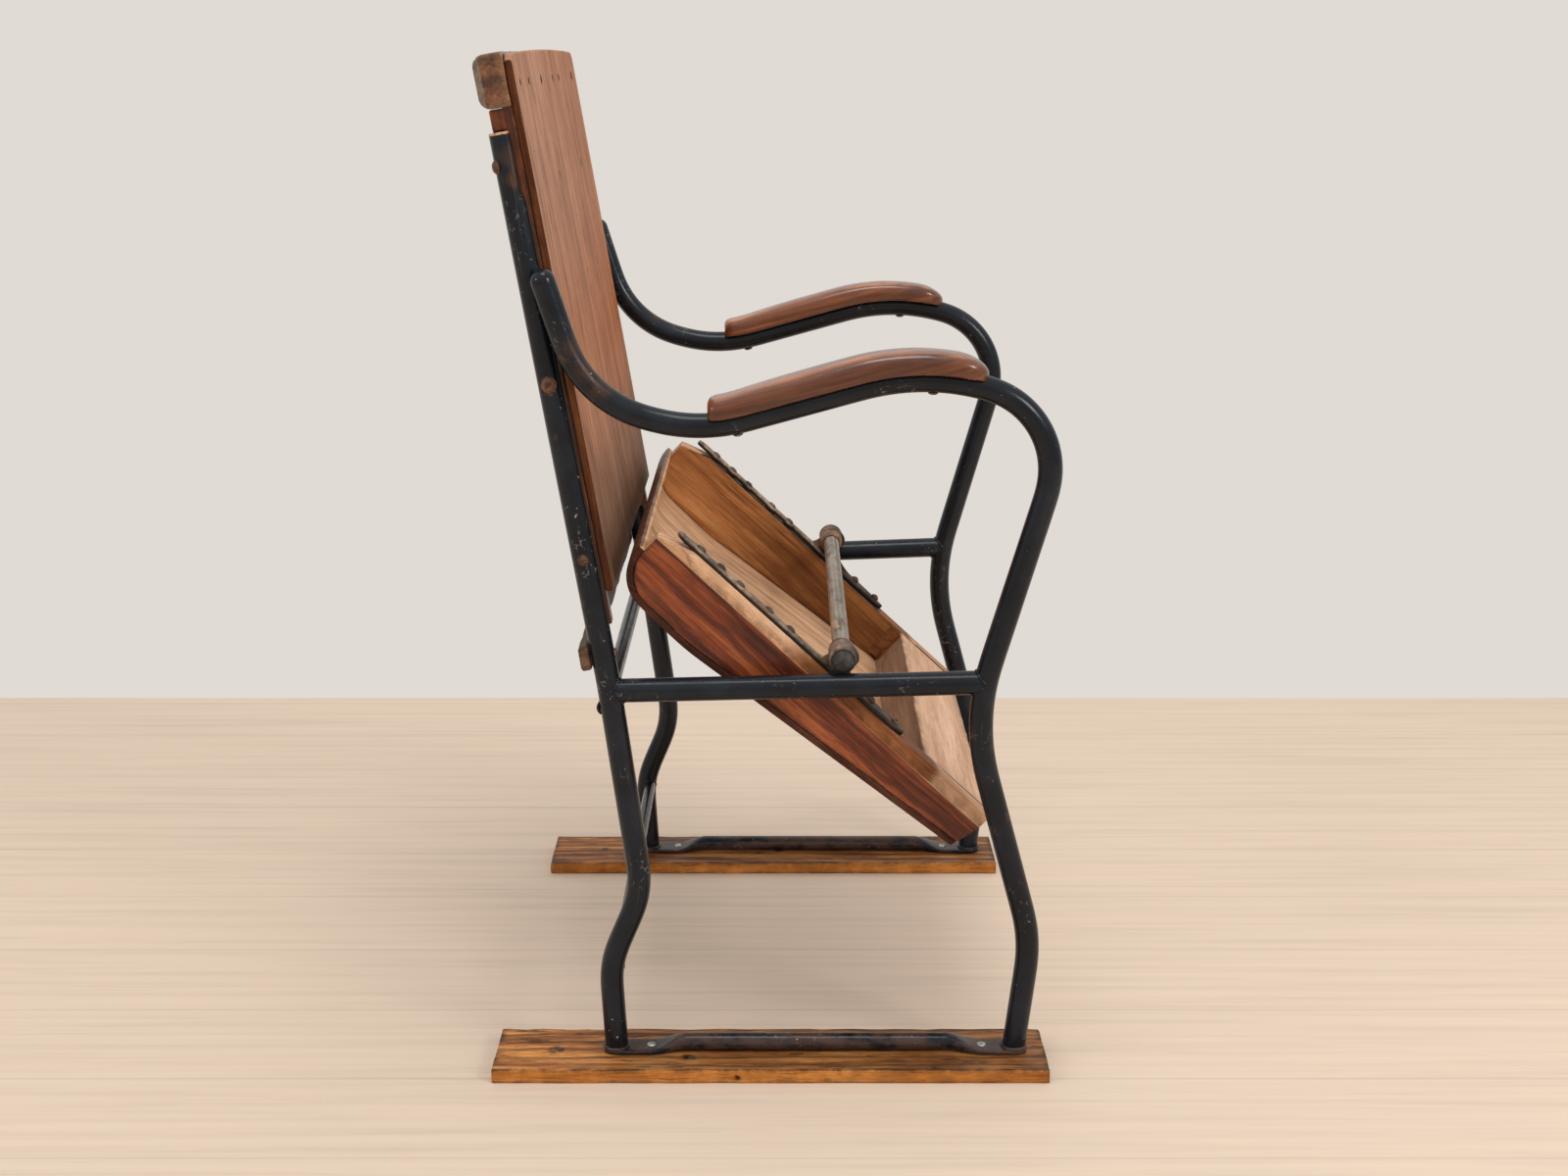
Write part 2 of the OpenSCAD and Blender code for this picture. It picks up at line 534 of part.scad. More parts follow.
// Wooden slat behind the posts and the bolts that hold it
slat_h = 22;
slat_d = 10;
slat_front = -pipe_r - 0.3;
slat_end = half_w + 6;
module rear_slat() color(WALNUT) difference() {
  on_post() translate([slat_front - slat_d, 0, slat_s]) union() {
    box(slat_d/2, slat_d, -slat_end, slat_end, -slat_h/2, slat_h/2);
    intersection() {
      box(0, slat_d/2 + 0.5, -slat_end, slat_end, -slat_h/2, slat_h/2);
      translate([13, 0, 0]) bar_y(26, -slat_end, slat_end);
    }
  }
  both() at_slat_bolt() translate([0, 0, -60]) hole_through(60);
}
module slat_bolts() color(IRON) both() at_slat_bolt() {
  translate([0, 0, -pipe_r - slat_d + 1]) cylinder(d = screw_d, h = 2*pipe_r + slat_d);
  translate([0, 0, pipe_r + 0.15]) cylinder(d1 = 9, d2 = 6, h = 2.2);
}

// Seat panel: one moulded sheet over the rails, rolled down at the front
seat_outer = offset_line(seat_pts, seat_rad, 0, 12);
seat_inner = offset_line(seat_pts, seat_rad, -seat_ply, 12);
rail_over = offset_line(seat_pts, seat_rad, -seat_ply - glue, 12);
module along_y(y0, y1) translate([0, y1, 0]) rotate([90, 0, 0]) linear_extrude(y1 - y0) children();
// Plan of the seat's rear edge, bowed, as a large disc
bow_r = (pow(seat_half, 2) + pow(seat_bow, 2))/(2*seat_bow);
module rear_bow() translate([-seat_back - seat_bow + bow_r, 0, -10]) cylinder(r = bow_r, h = 150, $fn = 360);
// The rear end is rounded to the circle that it sweeps
module in_sweep() rotate([90, 0, 0]) cylinder(r = sweep_r, h = far, center = true);
module seat_panel() color(WALNUT) on_seat() intersection() {
  along_y(-seat_half, seat_half) polygon(concat([for (p = seat_outer) p - (p == seat_outer[0] ? [4, 0.4] : [0, 0])],
    reversed([for (p = seat_inner) p - (p == seat_inner[0] ? [4, 0.4] : [0, 0])])));
  rear_bow();
  in_sweep();
}
module rail_side() polygon(concat(
  [[-seat_back - 4, seat_under], [-seat_back - 4, rail_over[0][1] - 0.4]], rail_over,
  [[seat_front - 10, seat_under + 11], [under_break, seat_under]]));
module seat_rail() color(MAHOGANY) on_seat() difference() {
  intersection() {
    along_y(rail_in, seat_half) rail_side();
    rear_bow();
    in_sweep();
  }
  along_x(-far/2, under_break) polygon([[seat_half - 5, seat_under], [seat_half + 5, seat_under + 24],
    [seat_half + 5, seat_under - 5], [seat_half - 5, seat_under - 5]]);
  at_bracket_screws() hole(13);
}
module along_x(x0, x1) translate([x0, 0, 0]) rotate([90, 0, 90]) linear_extrude(x1 - x0) children();
module seat_rear_block() color(RAW) on_seat() intersection() {
  along_y(-rail_in + glue, rail_in - glue) polygon([[-seat_back - 4, seat_under + 0.3], [block_l - seat_back, seat_under + 0.3],
    [block_l - seat_back, rail_height(block_l - seat_back)], [-seat_back - 4, rail_over[0][1] - 0.4]]);
  rear_bow();
  in_sweep();
}
// Height of the rails' top behind the crown
function rail_height(x) = rail_over[0][1] + (x - rail_over[0][0])*(rail_over[1][1] - rail_over[0][1])/(rail_over[1][0] - rail_over[0][0]);

// Hinge bracket: strap under the rail, web, hub with its tooth
strap_low = seat_under - strap_t;
module at_bracket_screws() for (u = screw_u) translate([u, strap_y, strap_low]) rotate([180, 0, 0]) children();
module strap_plan() {
  translate([-8, -7]) square([strap_front - 6 + 8, 14]);
  translate([strap_front - 7, 0]) circle(r = 7);
  for (u = screw_u) if (u > 0) translate([u, 0]) circle(d = strap_w - 4);
  polygon([[0, -9], [0, 11], [-22, strap_w/2], [-60, strap_w/2], [-80, 8.5], [-strap_rear + 3, 3.5],
           [-strap_rear, 0], [-strap_rear + 3, -4.5], [-80, -9], [-60, -strap_w/2], [-22, -strap_w/2]]);
}
module hinge_bracket() color(IRON) on_seat() difference() {
  union() {
    translate([0, strap_y, strap_low]) linear_extrude(strap_t - 0.05) strap_plan();
    bar_y(hub_d, hub_in, hub_out);
    box(-9, 9, hub_in, strap_y + 9, 2, strap_low + 1);
    translate([0, 0, 0]) rotate([0, 152, 0]) translate([hub_d/2 - 1, 0, 0]) bar_y(9, hub_in, hub_in + 8);
    rotate([0, tip, 0]) ring_part(hub_d, 2*hub_bore, jaw_in, hub_in + 0.5, hub_tooth_a, hub_tooth_a + hub_tooth);
  }
  bar_y(2*hub_bore, jaw_in - 5, hub_out + 5);
  translate([-36, strap_y - 4, strap_low - 1]) cube([20, 8, strap_t + 2]);
  at_bracket_screws() translate([0, 0, -far/2]) hole_through(far);
}
module bracket_screws() color(IRON) on_seat() both() at_bracket_screws() {
  translate([0, 0, 0.1]) cylinder(d1 = 10, d2 = 6.5, h = 2.4);
  translate([0, 0, -12]) cylinder(d = screw_d, h = 12.4);
}

module tie_screws() color(STEEL) both() at_tie_screws() {
  translate([0, 0, 0.1]) cylinder(d1 = 9, d2 = 6, h = 2);
  translate([0, 0, -tie_t - 8]) cylinder(d = screw_d, h = tie_t + 8.5);
}
module board_screws() color(IRON) both() at_board_screws() {
  translate([0, 0, 0.1]) cylinder(d1 = 9, d2 = 7, h = 1.2);
  translate([0, 0, -7]) cylinder(d = screw_d, h = 7.5);
}

// Where the pivot came out, for the record of the joint
echo(pivot = [pivot_x, pivot_z], hub = [hub_in, hub_out], caps = [cap_in, cap_out], lean = arm_lean);

right_side() skid_board();  // right_skid_board
skid_board();  // left_skid_board
right_side() foot_tie();  // right_foot_tie
foot_tie();  // left_foot_tie
tie_screws();
board_screws();
right_side() back_post();  // right_back_post
back_post();  // left_back_post
right_side() arm_leg_tube();  // right_arm_leg_tube
arm_leg_tube();  // left_arm_leg_tube
right_side() side_rung();  // right_side_rung
side_rung();  // left_side_rung
rear_cross_tube();
lower_cross_tube();
pivot_tube();
pivot_caps();
stop_collars();
right_side() arm_pad();  // right_arm_pad
arm_pad();  // left_arm_pad
pad_screws();
back_panel();
right_side() back_stile();  // right_back_stile
back_stile();  // left_back_stile
top_batten();
panel_screws();
post_bolts();
rear_slat();
slat_bolts();
seat_panel();
right_side() seat_rail();  // right_seat_rail
seat_rail();  // left_seat_rail
seat_rear_block();
right_side() hinge_bracket();  // right_hinge_bracket
hinge_bracket();  // left_hinge_bracket
bracket_screws();
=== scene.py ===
# %% [markdown]
# # A tip-up chair on two skid boards
# An old public seat: a bent pipe frame, a moulded backrest, dark arm pads and a seat that tips up
# about a cross tube. The measured model is loaded first and stays as it is. Everything made here is
# dressed onto it, in the same place and at the same size.

# %% Load the measured model
import json
import math
from contextlib import contextmanager

import bmesh
import bpy
import numpy as np
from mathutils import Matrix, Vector, noise


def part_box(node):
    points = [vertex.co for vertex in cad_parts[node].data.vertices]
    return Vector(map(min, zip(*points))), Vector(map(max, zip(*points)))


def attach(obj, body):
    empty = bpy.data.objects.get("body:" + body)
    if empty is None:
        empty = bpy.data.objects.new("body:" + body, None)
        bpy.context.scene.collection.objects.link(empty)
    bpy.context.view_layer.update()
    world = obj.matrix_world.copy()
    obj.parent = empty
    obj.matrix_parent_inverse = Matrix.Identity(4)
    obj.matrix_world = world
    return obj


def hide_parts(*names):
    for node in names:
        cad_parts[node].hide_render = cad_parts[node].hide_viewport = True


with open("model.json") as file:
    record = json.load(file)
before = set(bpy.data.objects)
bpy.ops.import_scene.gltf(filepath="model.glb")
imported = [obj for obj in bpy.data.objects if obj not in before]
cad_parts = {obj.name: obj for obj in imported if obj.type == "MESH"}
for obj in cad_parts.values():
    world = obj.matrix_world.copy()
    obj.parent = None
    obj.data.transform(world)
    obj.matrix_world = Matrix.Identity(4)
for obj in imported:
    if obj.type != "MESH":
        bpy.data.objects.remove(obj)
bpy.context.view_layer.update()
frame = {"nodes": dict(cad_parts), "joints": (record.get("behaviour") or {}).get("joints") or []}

# %% [markdown]
# The photograph was taken square to the chair's side, from about the height of its back and two
# metres away. A lens of 48 mm on a 36 mm sensor, tilted down by 14.5 degrees, gives the same view.

# %% Camera
CAMERA_AT = (0.01226, -2.0116, 0.91075)
CAMERA_DOWN = 14.504

def new_object(name, data):
    obj = bpy.data.objects.new(name, data)
    bpy.context.scene.collection.objects.link(obj)
    return obj

camera = new_object("camera", bpy.data.cameras.new("camera"))
camera.data.lens = 47.8
camera.data.sensor_width = 36.0
camera.data.clip_end = 60.0
camera.location = CAMERA_AT
camera.rotation_euler = (math.radians(90 - CAMERA_DOWN), 0.0, 0.0)
bpy.context.scene.camera = camera
bpy.context.scene.view_settings.view_transform = "Standard"
print("lens", round(camera.data.lens, 1), "mm, tilted down by", CAMERA_DOWN, "degrees")

# %% [markdown]
# Every material here is a small sum of noises and masks. To write such sums as plain arithmetic, a
# node's output is wrapped in a Signal: adding or multiplying two signals adds a Math node, and the
# other steps (a fade, a colour ramp, a mix) each add the node of that name.

# %% Small tools for wiring nodes
def put(socket, value):
    """A plain value or a link into a socket."""
    if isinstance(value, Signal):
        value = value.socket
    if isinstance(value, bpy.types.NodeSocket):
        socket.id_data.links.new(value, socket)
    else:
        socket.default_value = value

def add_node(tree, kind, values=(), **settings):
    """One more node in a tree, with plain values or links for its sockets."""
    node = tree.nodes.new(kind)
    for key, value in settings.items():
        setattr(node, key, value)
    for key, value in dict(values).items():
        put(node.inputs[key], value)
    return node

class Signal:
    """A node's output. Sums and steps written on it become further nodes of the same tree."""

    def __init__(self, socket):
        self.socket = socket

    def then(self, kind, values, output=0, **settings):
        return Signal(add_node(self.socket.id_data, kind, values, **settings).outputs[output])

    def math(self, how, other=0.0, clamp=False):
        return self.then("ShaderNodeMath", {0: self, 1: other}, operation=how, use_clamp=clamp)

    def __add__(self, other):
        return self.math("ADD", other)

    def __mul__(self, other):
        return self.math("MULTIPLY", other)

    def __sub__(self, other):
        return self.math("SUBTRACT", other)

    def __rsub__(self, other):
        return self.then("ShaderNodeMath", {0: other, 1: self}, operation="SUBTRACT")

    def __abs__(self):
        return self.math("ABSOLUTE")

    def most(self, other):
        """The larger of two."""
        return self.math("MAXIMUM", other)

    def clamped(self):
        return self.math("ADD", 0.0, clamp=True)

    def fade(self, low, high):
        """0 at low and 1 at high, eased between them."""
        values = {"Value": self, "From Min": low, "From Max": high}
        return self.then("ShaderNodeMapRange", values, interpolation_type="SMOOTHSTEP")

    def ramp(self, *stops):
        """A colour for each value, from stops (value, colour)."""
        node = add_node(self.socket.id_data, "ShaderNodeValToRGB", {"Fac": self})
        bar = node.color_ramp.elements
        for element, (at, colour) in ((bar[0], stops[0]), (bar[1], stops[-1])):
            element.position, element.color = at, (*colour, 1)
        for at, colour in stops[1:-1]:
            bar.new(at).color = (*colour, 1)
        return Signal(node.outputs["Color"])

    def mixed(self, share, other, how="MIX"):
        """This colour with a share of another one."""
        other = other if isinstance(other, Signal) else (*other, 1)
        return self.then("ShaderNodeMix", {6: self, 7: other, "Factor": share}, 2,
                         data_type="RGBA", blend_type=how)

    def part(self, axis):
        """One of the three parts of a vector."""
        return self.then("ShaderNodeSeparateXYZ", {0: self}, axis)

    def dot(self, way):
        return self.then("ShaderNodeVectorMath", {0: self, 1: way}, "Value", operation="DOT_PRODUCT")

    def scaled(self, scale, shift=(0, 0, 0)):
        return self.then("ShaderNodeMapping", {"Vector": self, "Scale": scale, "Location": shift})

    def pushed(self, push, reach):
        """These places, pushed about by another vector."""
        return self.then("ShaderNodeVectorMath", {0: push, 1: reach, 2: self}, operation="MULTIPLY_ADD")

    def noise(self, scale, detail=4.0, rough=0.55, output="Fac"):
        values = {"Vector": self, "Scale": scale, "Detail": detail, "Roughness": rough}
        return self.then("ShaderNodeTexNoise", values, output)

    def near(self, spots):
        """1 at any of the spots (x, y, z, reach), falling to 0 at its reach."""
        total = None
        for x, y, z, reach in spots:
            gap = self.then("ShaderNodeVectorMath", {0: self, 1: (x, y, z)}, "Value", operation="DISTANCE")
            here = gap.fade(reach, reach*0.25)
            total = here if total is None else total.most(here)
        return total

print("a signal's steps:", [k for k in vars(Signal) if k[0] != "_"])

# %% [markdown]
# A finish is one material with one Principled shader, which is enough for paint, wood and iron.
# Patterns read Object coordinates, so that they stay on a piece when it turns with its body.

# %% Finishes
class Finish:
    """A material with one Principled shader."""

    def __init__(self, name, **values):
        self.material = bpy.data.materials.new(name)
        self.material.use_nodes = True
        self.tree = self.material.node_tree
        self.tree.nodes.clear()
        self.shader = add_node(self.tree, "ShaderNodeBsdfPrincipled")
        self.out = add_node(self.tree, "ShaderNodeOutputMaterial", {"Surface": self.shader.outputs[0]})
        self.give(**values)

    def give(self, **values):
        """Values or signals for the shader's sockets, with _ for a space in a socket's name."""
        for name, value in values.items():
            put(self.shader.inputs[name.replace("_", " ")], value)

    def place(self, turn=(0, 0, 0), scale=(1, 1, 1), shift=(0, 0, 0)):
        """Object coordinates, moved, turned by degrees and then stretched."""
        raw = Signal(add_node(self.tree, "ShaderNodeTexCoord").outputs["Object"])
        angles = [math.radians(a) for a in turn]
        moved = raw.then("ShaderNodeMapping", {"Vector": raw, "Location": shift, "Rotation": angles})
        return moved.scaled(scale)

    def attribute(self, name, output="Fac"):
        """A value kept on the points of a piece."""
        return Signal(add_node(self.tree, "ShaderNodeAttribute", attribute_name=name).outputs[output])

    def bump(self, height, depth, strength):
        values = {"Height": height, "Distance": depth, "Strength": strength}
        self.give(Normal=add_node(self.tree, "ShaderNodeBump", values).outputs[0])

print("a finish can:", [k for k in vars(Finish) if k[0] != "_"])

# %% [markdown]
# The room is plain: a pale wooden floor colour near the chair and an off-white wall colour behind
# it. Both are one large flat sheet, so nothing stands in the way when the chair is seen from
# another side. The wall part glows evenly for the camera, and the floor part takes the shadow.

# %% Floor and wall colours on one sheet
ROOM_HALF = 30.0       # all in metres
WALL_FROM = 0.873      # where the photograph's floor ends, behind the middle
WALL_EASE = 0.004
BOARDS_PER_METRE = 7.1
FLOOR_COLOUR = (0.735, 0.585, 0.455)
WALL_COLOUR = (0.748, 0.706, 0.658)

def shade(colour, by):
    """A darker or lighter tone of a colour."""
    return tuple(by*c for c in colour)

def make_floor():
    half = ROOM_HALF
    mesh = bpy.data.meshes.new("floor")
    corners = [(-half, -half, 0), (half, -half, 0), (half, half, 0), (-half, half, 0)]
    mesh.from_pydata(corners, [], [(0, 1, 2, 3)])
    sheet = new_object("floor", mesh)
    room = Finish("room", Roughness=0.75)
    y = room.place().part("Y")
    behind = y.fade(WALL_FROM - WALL_EASE, WALL_FROM + WALL_EASE)
    grain = room.place(scale=(0.7, 24, 1)).noise(3.0, 7.0, 0.68)
    tone = grain.ramp((0.34, shade(FLOOR_COLOUR, 0.90)), (0.5, FLOOR_COLOUR),
                      (0.68, shade(FLOOR_COLOUR, 1.05)))
    seam = abs((y*BOARDS_PER_METRE).math("FRACT") - 0.5).fade(0.485, 0.498)
    tone = tone.mixed(seam*0.35, shade(FLOOR_COLOUR, 0.6))
    room.give(Base_Color=tone.mixed(behind, WALL_COLOUR))
    path = add_node(room.tree, "ShaderNodeLightPath")
    rays = [Signal(path.outputs[f"Is {kind} Ray"]) for kind in ("Camera", "Glossy", "Transmission")]
    seen = rays[0].most(rays[1]).most(rays[2])
    glow = add_node(room.tree, "ShaderNodeEmission", {"Color": (*WALL_COLOUR, 1)})
    both = {0: behind*seen, 1: room.shader.outputs[0], 2: glow.outputs[0]}
    put(room.out.inputs["Surface"], add_node(room.tree, "ShaderNodeMixShader", both).outputs[0])
    mesh.materials.append(room.material)
    return sheet

floor = make_floor()
print("floor sheet", tuple(round(v) for v in floor.dimensions))

# %% [markdown]
# Soft studio light: a pale sky, brighter overhead than at the sides, fills the shadows. A square
# panel above and a stronger one in front to the right draw long highlights on the pipes, and a
# weak one on the left keeps the backs of the pipes readable.

# %% Light
SKY_COLOUR = (1.0, 0.985, 0.965, 1)
SKY_STRENGTH = {"From Min": -0.1, "From Max": 0.95, "To Min": 0.50, "To Max": 0.95}

def make_sky():
    world = bpy.data.worlds.new("studio")
    world.use_nodes = True
    sky = world.node_tree
    sky.nodes.clear()
    up = Signal(add_node(sky, "ShaderNodeTexCoord").outputs["Generated"]).part("Z")
    strength = up.then("ShaderNodeMapRange", {"Value": up, **SKY_STRENGTH})
    light = add_node(sky, "ShaderNodeBackground", {"Color": SKY_COLOUR, "Strength": strength})
    seen = add_node(sky, "ShaderNodeBackground", {"Color": (*WALL_COLOUR, 1)})
    for_camera = add_node(sky, "ShaderNodeLightPath").outputs["Is Camera Ray"]
    both = add_node(sky, "ShaderNodeMixShader", {0: for_camera, 1: light.outputs[0], 2: seen.outputs[0]})
    add_node(sky, "ShaderNodeOutputWorld", {"Surface": both.outputs[0]})
    bpy.context.scene.world = world

def lamp(name, place, target, size, power):
    """A square panel of some metres and watts, facing a target."""
    data = bpy.data.lights.new(name, "AREA")
    data.shape, data.size, data.energy = "SQUARE", size, power
    light = new_object(name, data)
    light.location = place
    light.rotation_euler = (Vector(target) - Vector(place)).to_track_quat("-Z", "Y").to_euler()

make_sky()
lamp("overhead", (0.0, -0.7, 3.2), (0.0, 0.0, 0.3), 1.1, 19)
lamp("left_panel", (-2.6, -1.6, 1.6), (0.0, 0.0, 0.5), 0.7, 11)
lamp("right_panel", (2.4, -2.0, 2.0), (0.0, 0.0, 0.4), 0.8, 28)

# %% [markdown]
# ## Sizes
# The pipes run along lines of straight runs joined by bends. The same corner points and radii as in
# the measured model give the lines here, in millimetres. The post leans back by 9.4 degrees. The
# arm and its leg are bent flat and then stood up with a slight lean outwards.

# %% Sizes of the frame
MM = 0.001
SIDES = (("right", -1), ("left", 1))
PIPE_R, PIPE_WALL = 10.65, 2.8
HALF_W, FOOT_Z = 249.0, 17.5
KNEE = (-142.5, 365.0)
BACK_LEAN = math.radians(9.4)
POST_TOP, ARM_END = 844.0, 724.0
LAP_AHEAD, LAP_APART = 12.8, 21.5       # the arm's end from the post's axis: ahead, and in all
POST_BENDS = [90, 90, 300]
ARM_BENDS = [150, 200, 75, 195, 145, 98]
PIVOT = Vector(frame["joints"][0]["pos_m"])/MM
TIP = math.radians(frame["joints"][0]["range_deg"][1])

def post_x(z):
    """Where the upper part of a post's axis lies at a height."""
    return KNEE[0] - (z - KNEE[1])*math.tan(BACK_LEAN)

POST_LINE = [(-142.5, FOOT_Z), (-147, 100), (-116.5, 171), KNEE, (post_x(POST_TOP), POST_TOP)]
arm_end_x = post_x(ARM_END) + LAP_AHEAD
ARM_LINE = [(225, FOOT_Z), (237, 124.5), (179, 336), (259.5, 617), (125.7, 646.7), (-59.3, 595.8),
            (arm_end_x + 32.3, ARM_END - 102), (arm_end_x, ARM_END)]
lap_y = math.sqrt(LAP_APART**2 - (LAP_AHEAD*math.cos(BACK_LEAN))**2)
ARM_LEAN = math.asin(lap_y/(ARM_END - FOOT_Z))

print("the arm leans out by", round(math.degrees(ARM_LEAN), 3), "degrees")

# %% Lines with rounded bends
def run_along(line):
    """How far along a line each of its points lies."""
    return np.concatenate([[0], np.cumsum(np.linalg.norm(np.diff(line, axis=0), axis=1))])

def points_at(line, places):
    """The points of a line at distances along it."""
    run = run_along(line)
    return np.stack([np.interp(places, run, line[:, k]) for k in range(line.shape[1])], axis=-1)

def rounded(corners, radii, step=4.0):
    """Points every few millimetres along straight runs joined by bends."""
    pts = [np.array(p, float) for p in corners]
    line = [pts[0]]
    for i, radius in enumerate(radii, 1):
        a = (pts[i] - pts[i - 1])/np.linalg.norm(pts[i] - pts[i - 1])
        b = (pts[i + 1] - pts[i])/np.linalg.norm(pts[i + 1] - pts[i])
        bend = math.acos(float(np.clip(a @ b, -1, 1)))
        side = np.array([-a[1], a[0]])*(1 if a[0]*b[1] - a[1]*b[0] > 0 else -1)
        start = pts[i] - radius*math.tan(bend/2)*a
        for f in np.linspace(0, bend, max(3, int(radius*bend/step))):
            line.append(start + radius*math.sin(f)*a + radius*(1 - math.cos(f))*side)
    line = np.array(line + [pts[-1]])
    length = run_along(line)[-1]
    return points_at(line, np.linspace(0, length, int(length/step) + 1))

def eased(line, passes=6):
    """The same line with its bends eased in, as a pipe bends by hand."""
    line = line.copy()
    for _ in range(passes):
        line[1:-1] = 0.25*line[:-2] + 0.5*line[1:-1] + 0.25*line[2:]
    return line

post_line, arm_line = eased(rounded(POST_LINE, POST_BENDS)), eased(rounded(ARM_LINE, ARM_BENDS))
print("points: post", len(post_line), "arm", len(arm_line))

# %% From each part's own frame to the chair's
def tilted(p, origin, angle):
    """Points (ahead, sideways, up), tilted by an angle and moved to an origin (x, z)."""
    p = np.asarray(p, float)
    c, s = math.cos(angle), math.sin(angle)
    x, z = p[..., 0]*c - p[..., 2]*s, p[..., 0]*s + p[..., 2]*c
    return np.stack([origin[0] + x, p[..., 1], origin[1] + z], axis=-1)

def on_post(p):
    """From the post's own frame (ahead, sideways, up along it) to the chair's."""
    return tilted(p, KNEE, BACK_LEAN)

def on_seat(p):
    """From the level seat (ahead, sideways, up from the pivot) to the tipped one."""
    return tilted(p, (PIVOT.x, PIVOT.z), TIP)

def on_arm(p):
    """From the flat plane that an arm is bent in to its leaning place, sideways from its middle."""
    p = np.asarray(p, float)
    c, s = math.cos(ARM_LEAN), math.sin(ARM_LEAN)
    up = p[..., 2] - FOOT_Z
    return np.stack([p[..., 0], HALF_W + p[..., 1]*c + up*s, FOOT_Z - p[..., 1]*s + up*c], axis=-1)

def sided(points, sign):
    """The same points on the left (1) or mirrored to the right (-1)."""
    points = np.array(points, float)
    points[..., 1] *= sign
    return points

post_3d = np.array([(x, HALF_W, z) for x, z in post_line])
arm_3d = on_arm(np.array([(x, 0.0, z) for x, z in arm_line]))
print("the arm's end lies", round(arm_3d[-1][1] - HALF_W, 1), "mm out")

# %% [markdown]
# ## Shared ways of making a piece
# Most pieces are skins: rings of points joined by faces and closed at both ends. A board is a box
# whose edges are rounded and worn, more in some places than in others. A wooden piece keeps a value
# called edge, 1 along its edges and 0 inside, and its finish reads that for wear and dirt.

# %% Meshes and what is kept on their points
WELD = 2e-6      # points nearer than this, in metres, become one

@contextmanager
def editing(mesh):
    """Opens a mesh for changes and closes it again."""
    work = bmesh.new()
    work.from_mesh(mesh)
    yield work
    work.to_mesh(mesh)
    work.free()

def keep(mesh, name, values):
    """Keeps a number or a vector for every point of a mesh."""
    values = np.asarray(values)
    whole = values.dtype.kind == "i"
    kind = "INT" if whole else "FLOAT" if values.ndim == 1 else "FLOAT_VECTOR"
    layer = mesh.attributes.new(name, kind, "POINT")
    layer.data.foreach_set("vector" if values.ndim > 1 else "value",
                           values.astype(np.int32 if whole else np.float32).ravel())

def settle(obj, body, material, slot, *nodes):
    """Gives a finished piece its material and its body, and hides the measured nodes that it stands for."""
    obj.data.materials.clear()
    obj.data.materials.append(material)
    normals = np.zeros((len(obj.data.vertices), 3), np.float32)
    obj.data.vertices.foreach_get("normal", normals.ravel())
    keep(obj.data, "facing", normals)
    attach(obj, body)
    if nodes:
        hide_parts(*nodes)
    return obj

def make_piece(name, points, faces, **kept):
    """A piece from points in millimetres. Its faces are set to point outwards."""
    mesh = bpy.data.meshes.new(name)
    mesh.from_pydata([tuple(p) for p in np.asarray(points)*MM], [], [tuple(f) for f in faces])
    for key, values in kept.items():
        keep(mesh, key, values)
    with editing(mesh) as work:
        bmesh.ops.remove_doubles(work, verts=work.verts, dist=WELD)
        many_sided = [f for f in work.faces if len(f.verts) > 4]
        bmesh.ops.triangulate(work, faces=many_sided, ngon_method="BEAUTY")
        bmesh.ops.recalc_face_normals(work, faces=work.faces)
        for face in work.faces:
            face.smooth = True
    return new_object(name, mesh)

print("points nearer than", WELD, "m become one")

# %% Skins
def sharpen(obj, degrees):
    """Edges that turn more than this stay crisp."""
    with editing(obj.data) as work:
        for edge in work.edges:
            if len(edge.link_faces) == 2:
                edge.smooth = edge.calc_face_angle(0.0) < math.radians(degrees)
    return obj

def size_mm(obj):
    return tuple(round(v/MM, 1) for v in obj.dimensions)

def round_angles(count):
    """Angles evenly round a circle."""
    return [2*math.pi*i/count for i in range(count)]

def skin(rings, capped=True):
    """Points and faces of a skin over rings of the same count, each end closed."""
    count = len(rings[0])
    faces = []
    for i in range(len(rings) - 1):
        for j in range(count):
            k = (j + 1) % count
            faces.append((i*count + j, i*count + k, (i + 1)*count + k, (i + 1)*count + j))
    if capped:
        faces.append(tuple(range(count)))
        faces.append(tuple((len(rings) - 1)*count + j for j in reversed(range(count))))
    return np.array([p for ring in rings for p in ring], float), faces

def rough(points, size, depth, seed=0.0):
    """Uneven amounts over a set of points, smooth in space."""
    return np.array([depth*noise.noise(Vector((p[0]/size + seed, p[1]/size, p[2]/size))) for p in points])

print("3 rings of 8 points make", len(skin([[(0, 0, 0)]*8]*3)[1]), "faces")

# %% Boards
def steps(low, high, cell, close=(0, 0.5, 1.1, 1.9, 3.2, 5.5, 9)):
    """Places from low to high, close together near both ends."""
    near = [d for d in close if d < (high - low)*0.4]
    inner = high - low - 2*near[-1]
    middle = list(np.linspace(low + near[-1], high - near[-1], max(1, math.ceil(inner/cell)) + 1))
    return np.array([low + d for d in near[:-1]] + middle + [high - d for d in reversed(near[:-1])])

def box_of_squares(axes):
    """Points and faces of a box whose sides are squares between places along three axes."""
    ids, points, faces = {}, [], []
    def corner(at):
        if at not in ids:
            ids[at] = len(points)
            points.append([axes[k][at[k]] for k in range(3)])
        return ids[at]
    for axis in range(3):
        u, v = [a for a in range(3) if a != axis]
        for end in (0, len(axes[axis]) - 1):
            for a in range(len(axes[u]) - 1):
                for b in range(len(axes[v]) - 1):
                    square = []
                    for da, db in ((0, 0), (1, 0), (1, 1), (0, 1)):
                        at = [0, 0, 0]
                        at[axis], at[u], at[v] = end, a + da, b + db
                        square.append(corner(tuple(at)))
                    faces.append(square)
    return np.array(points), faces

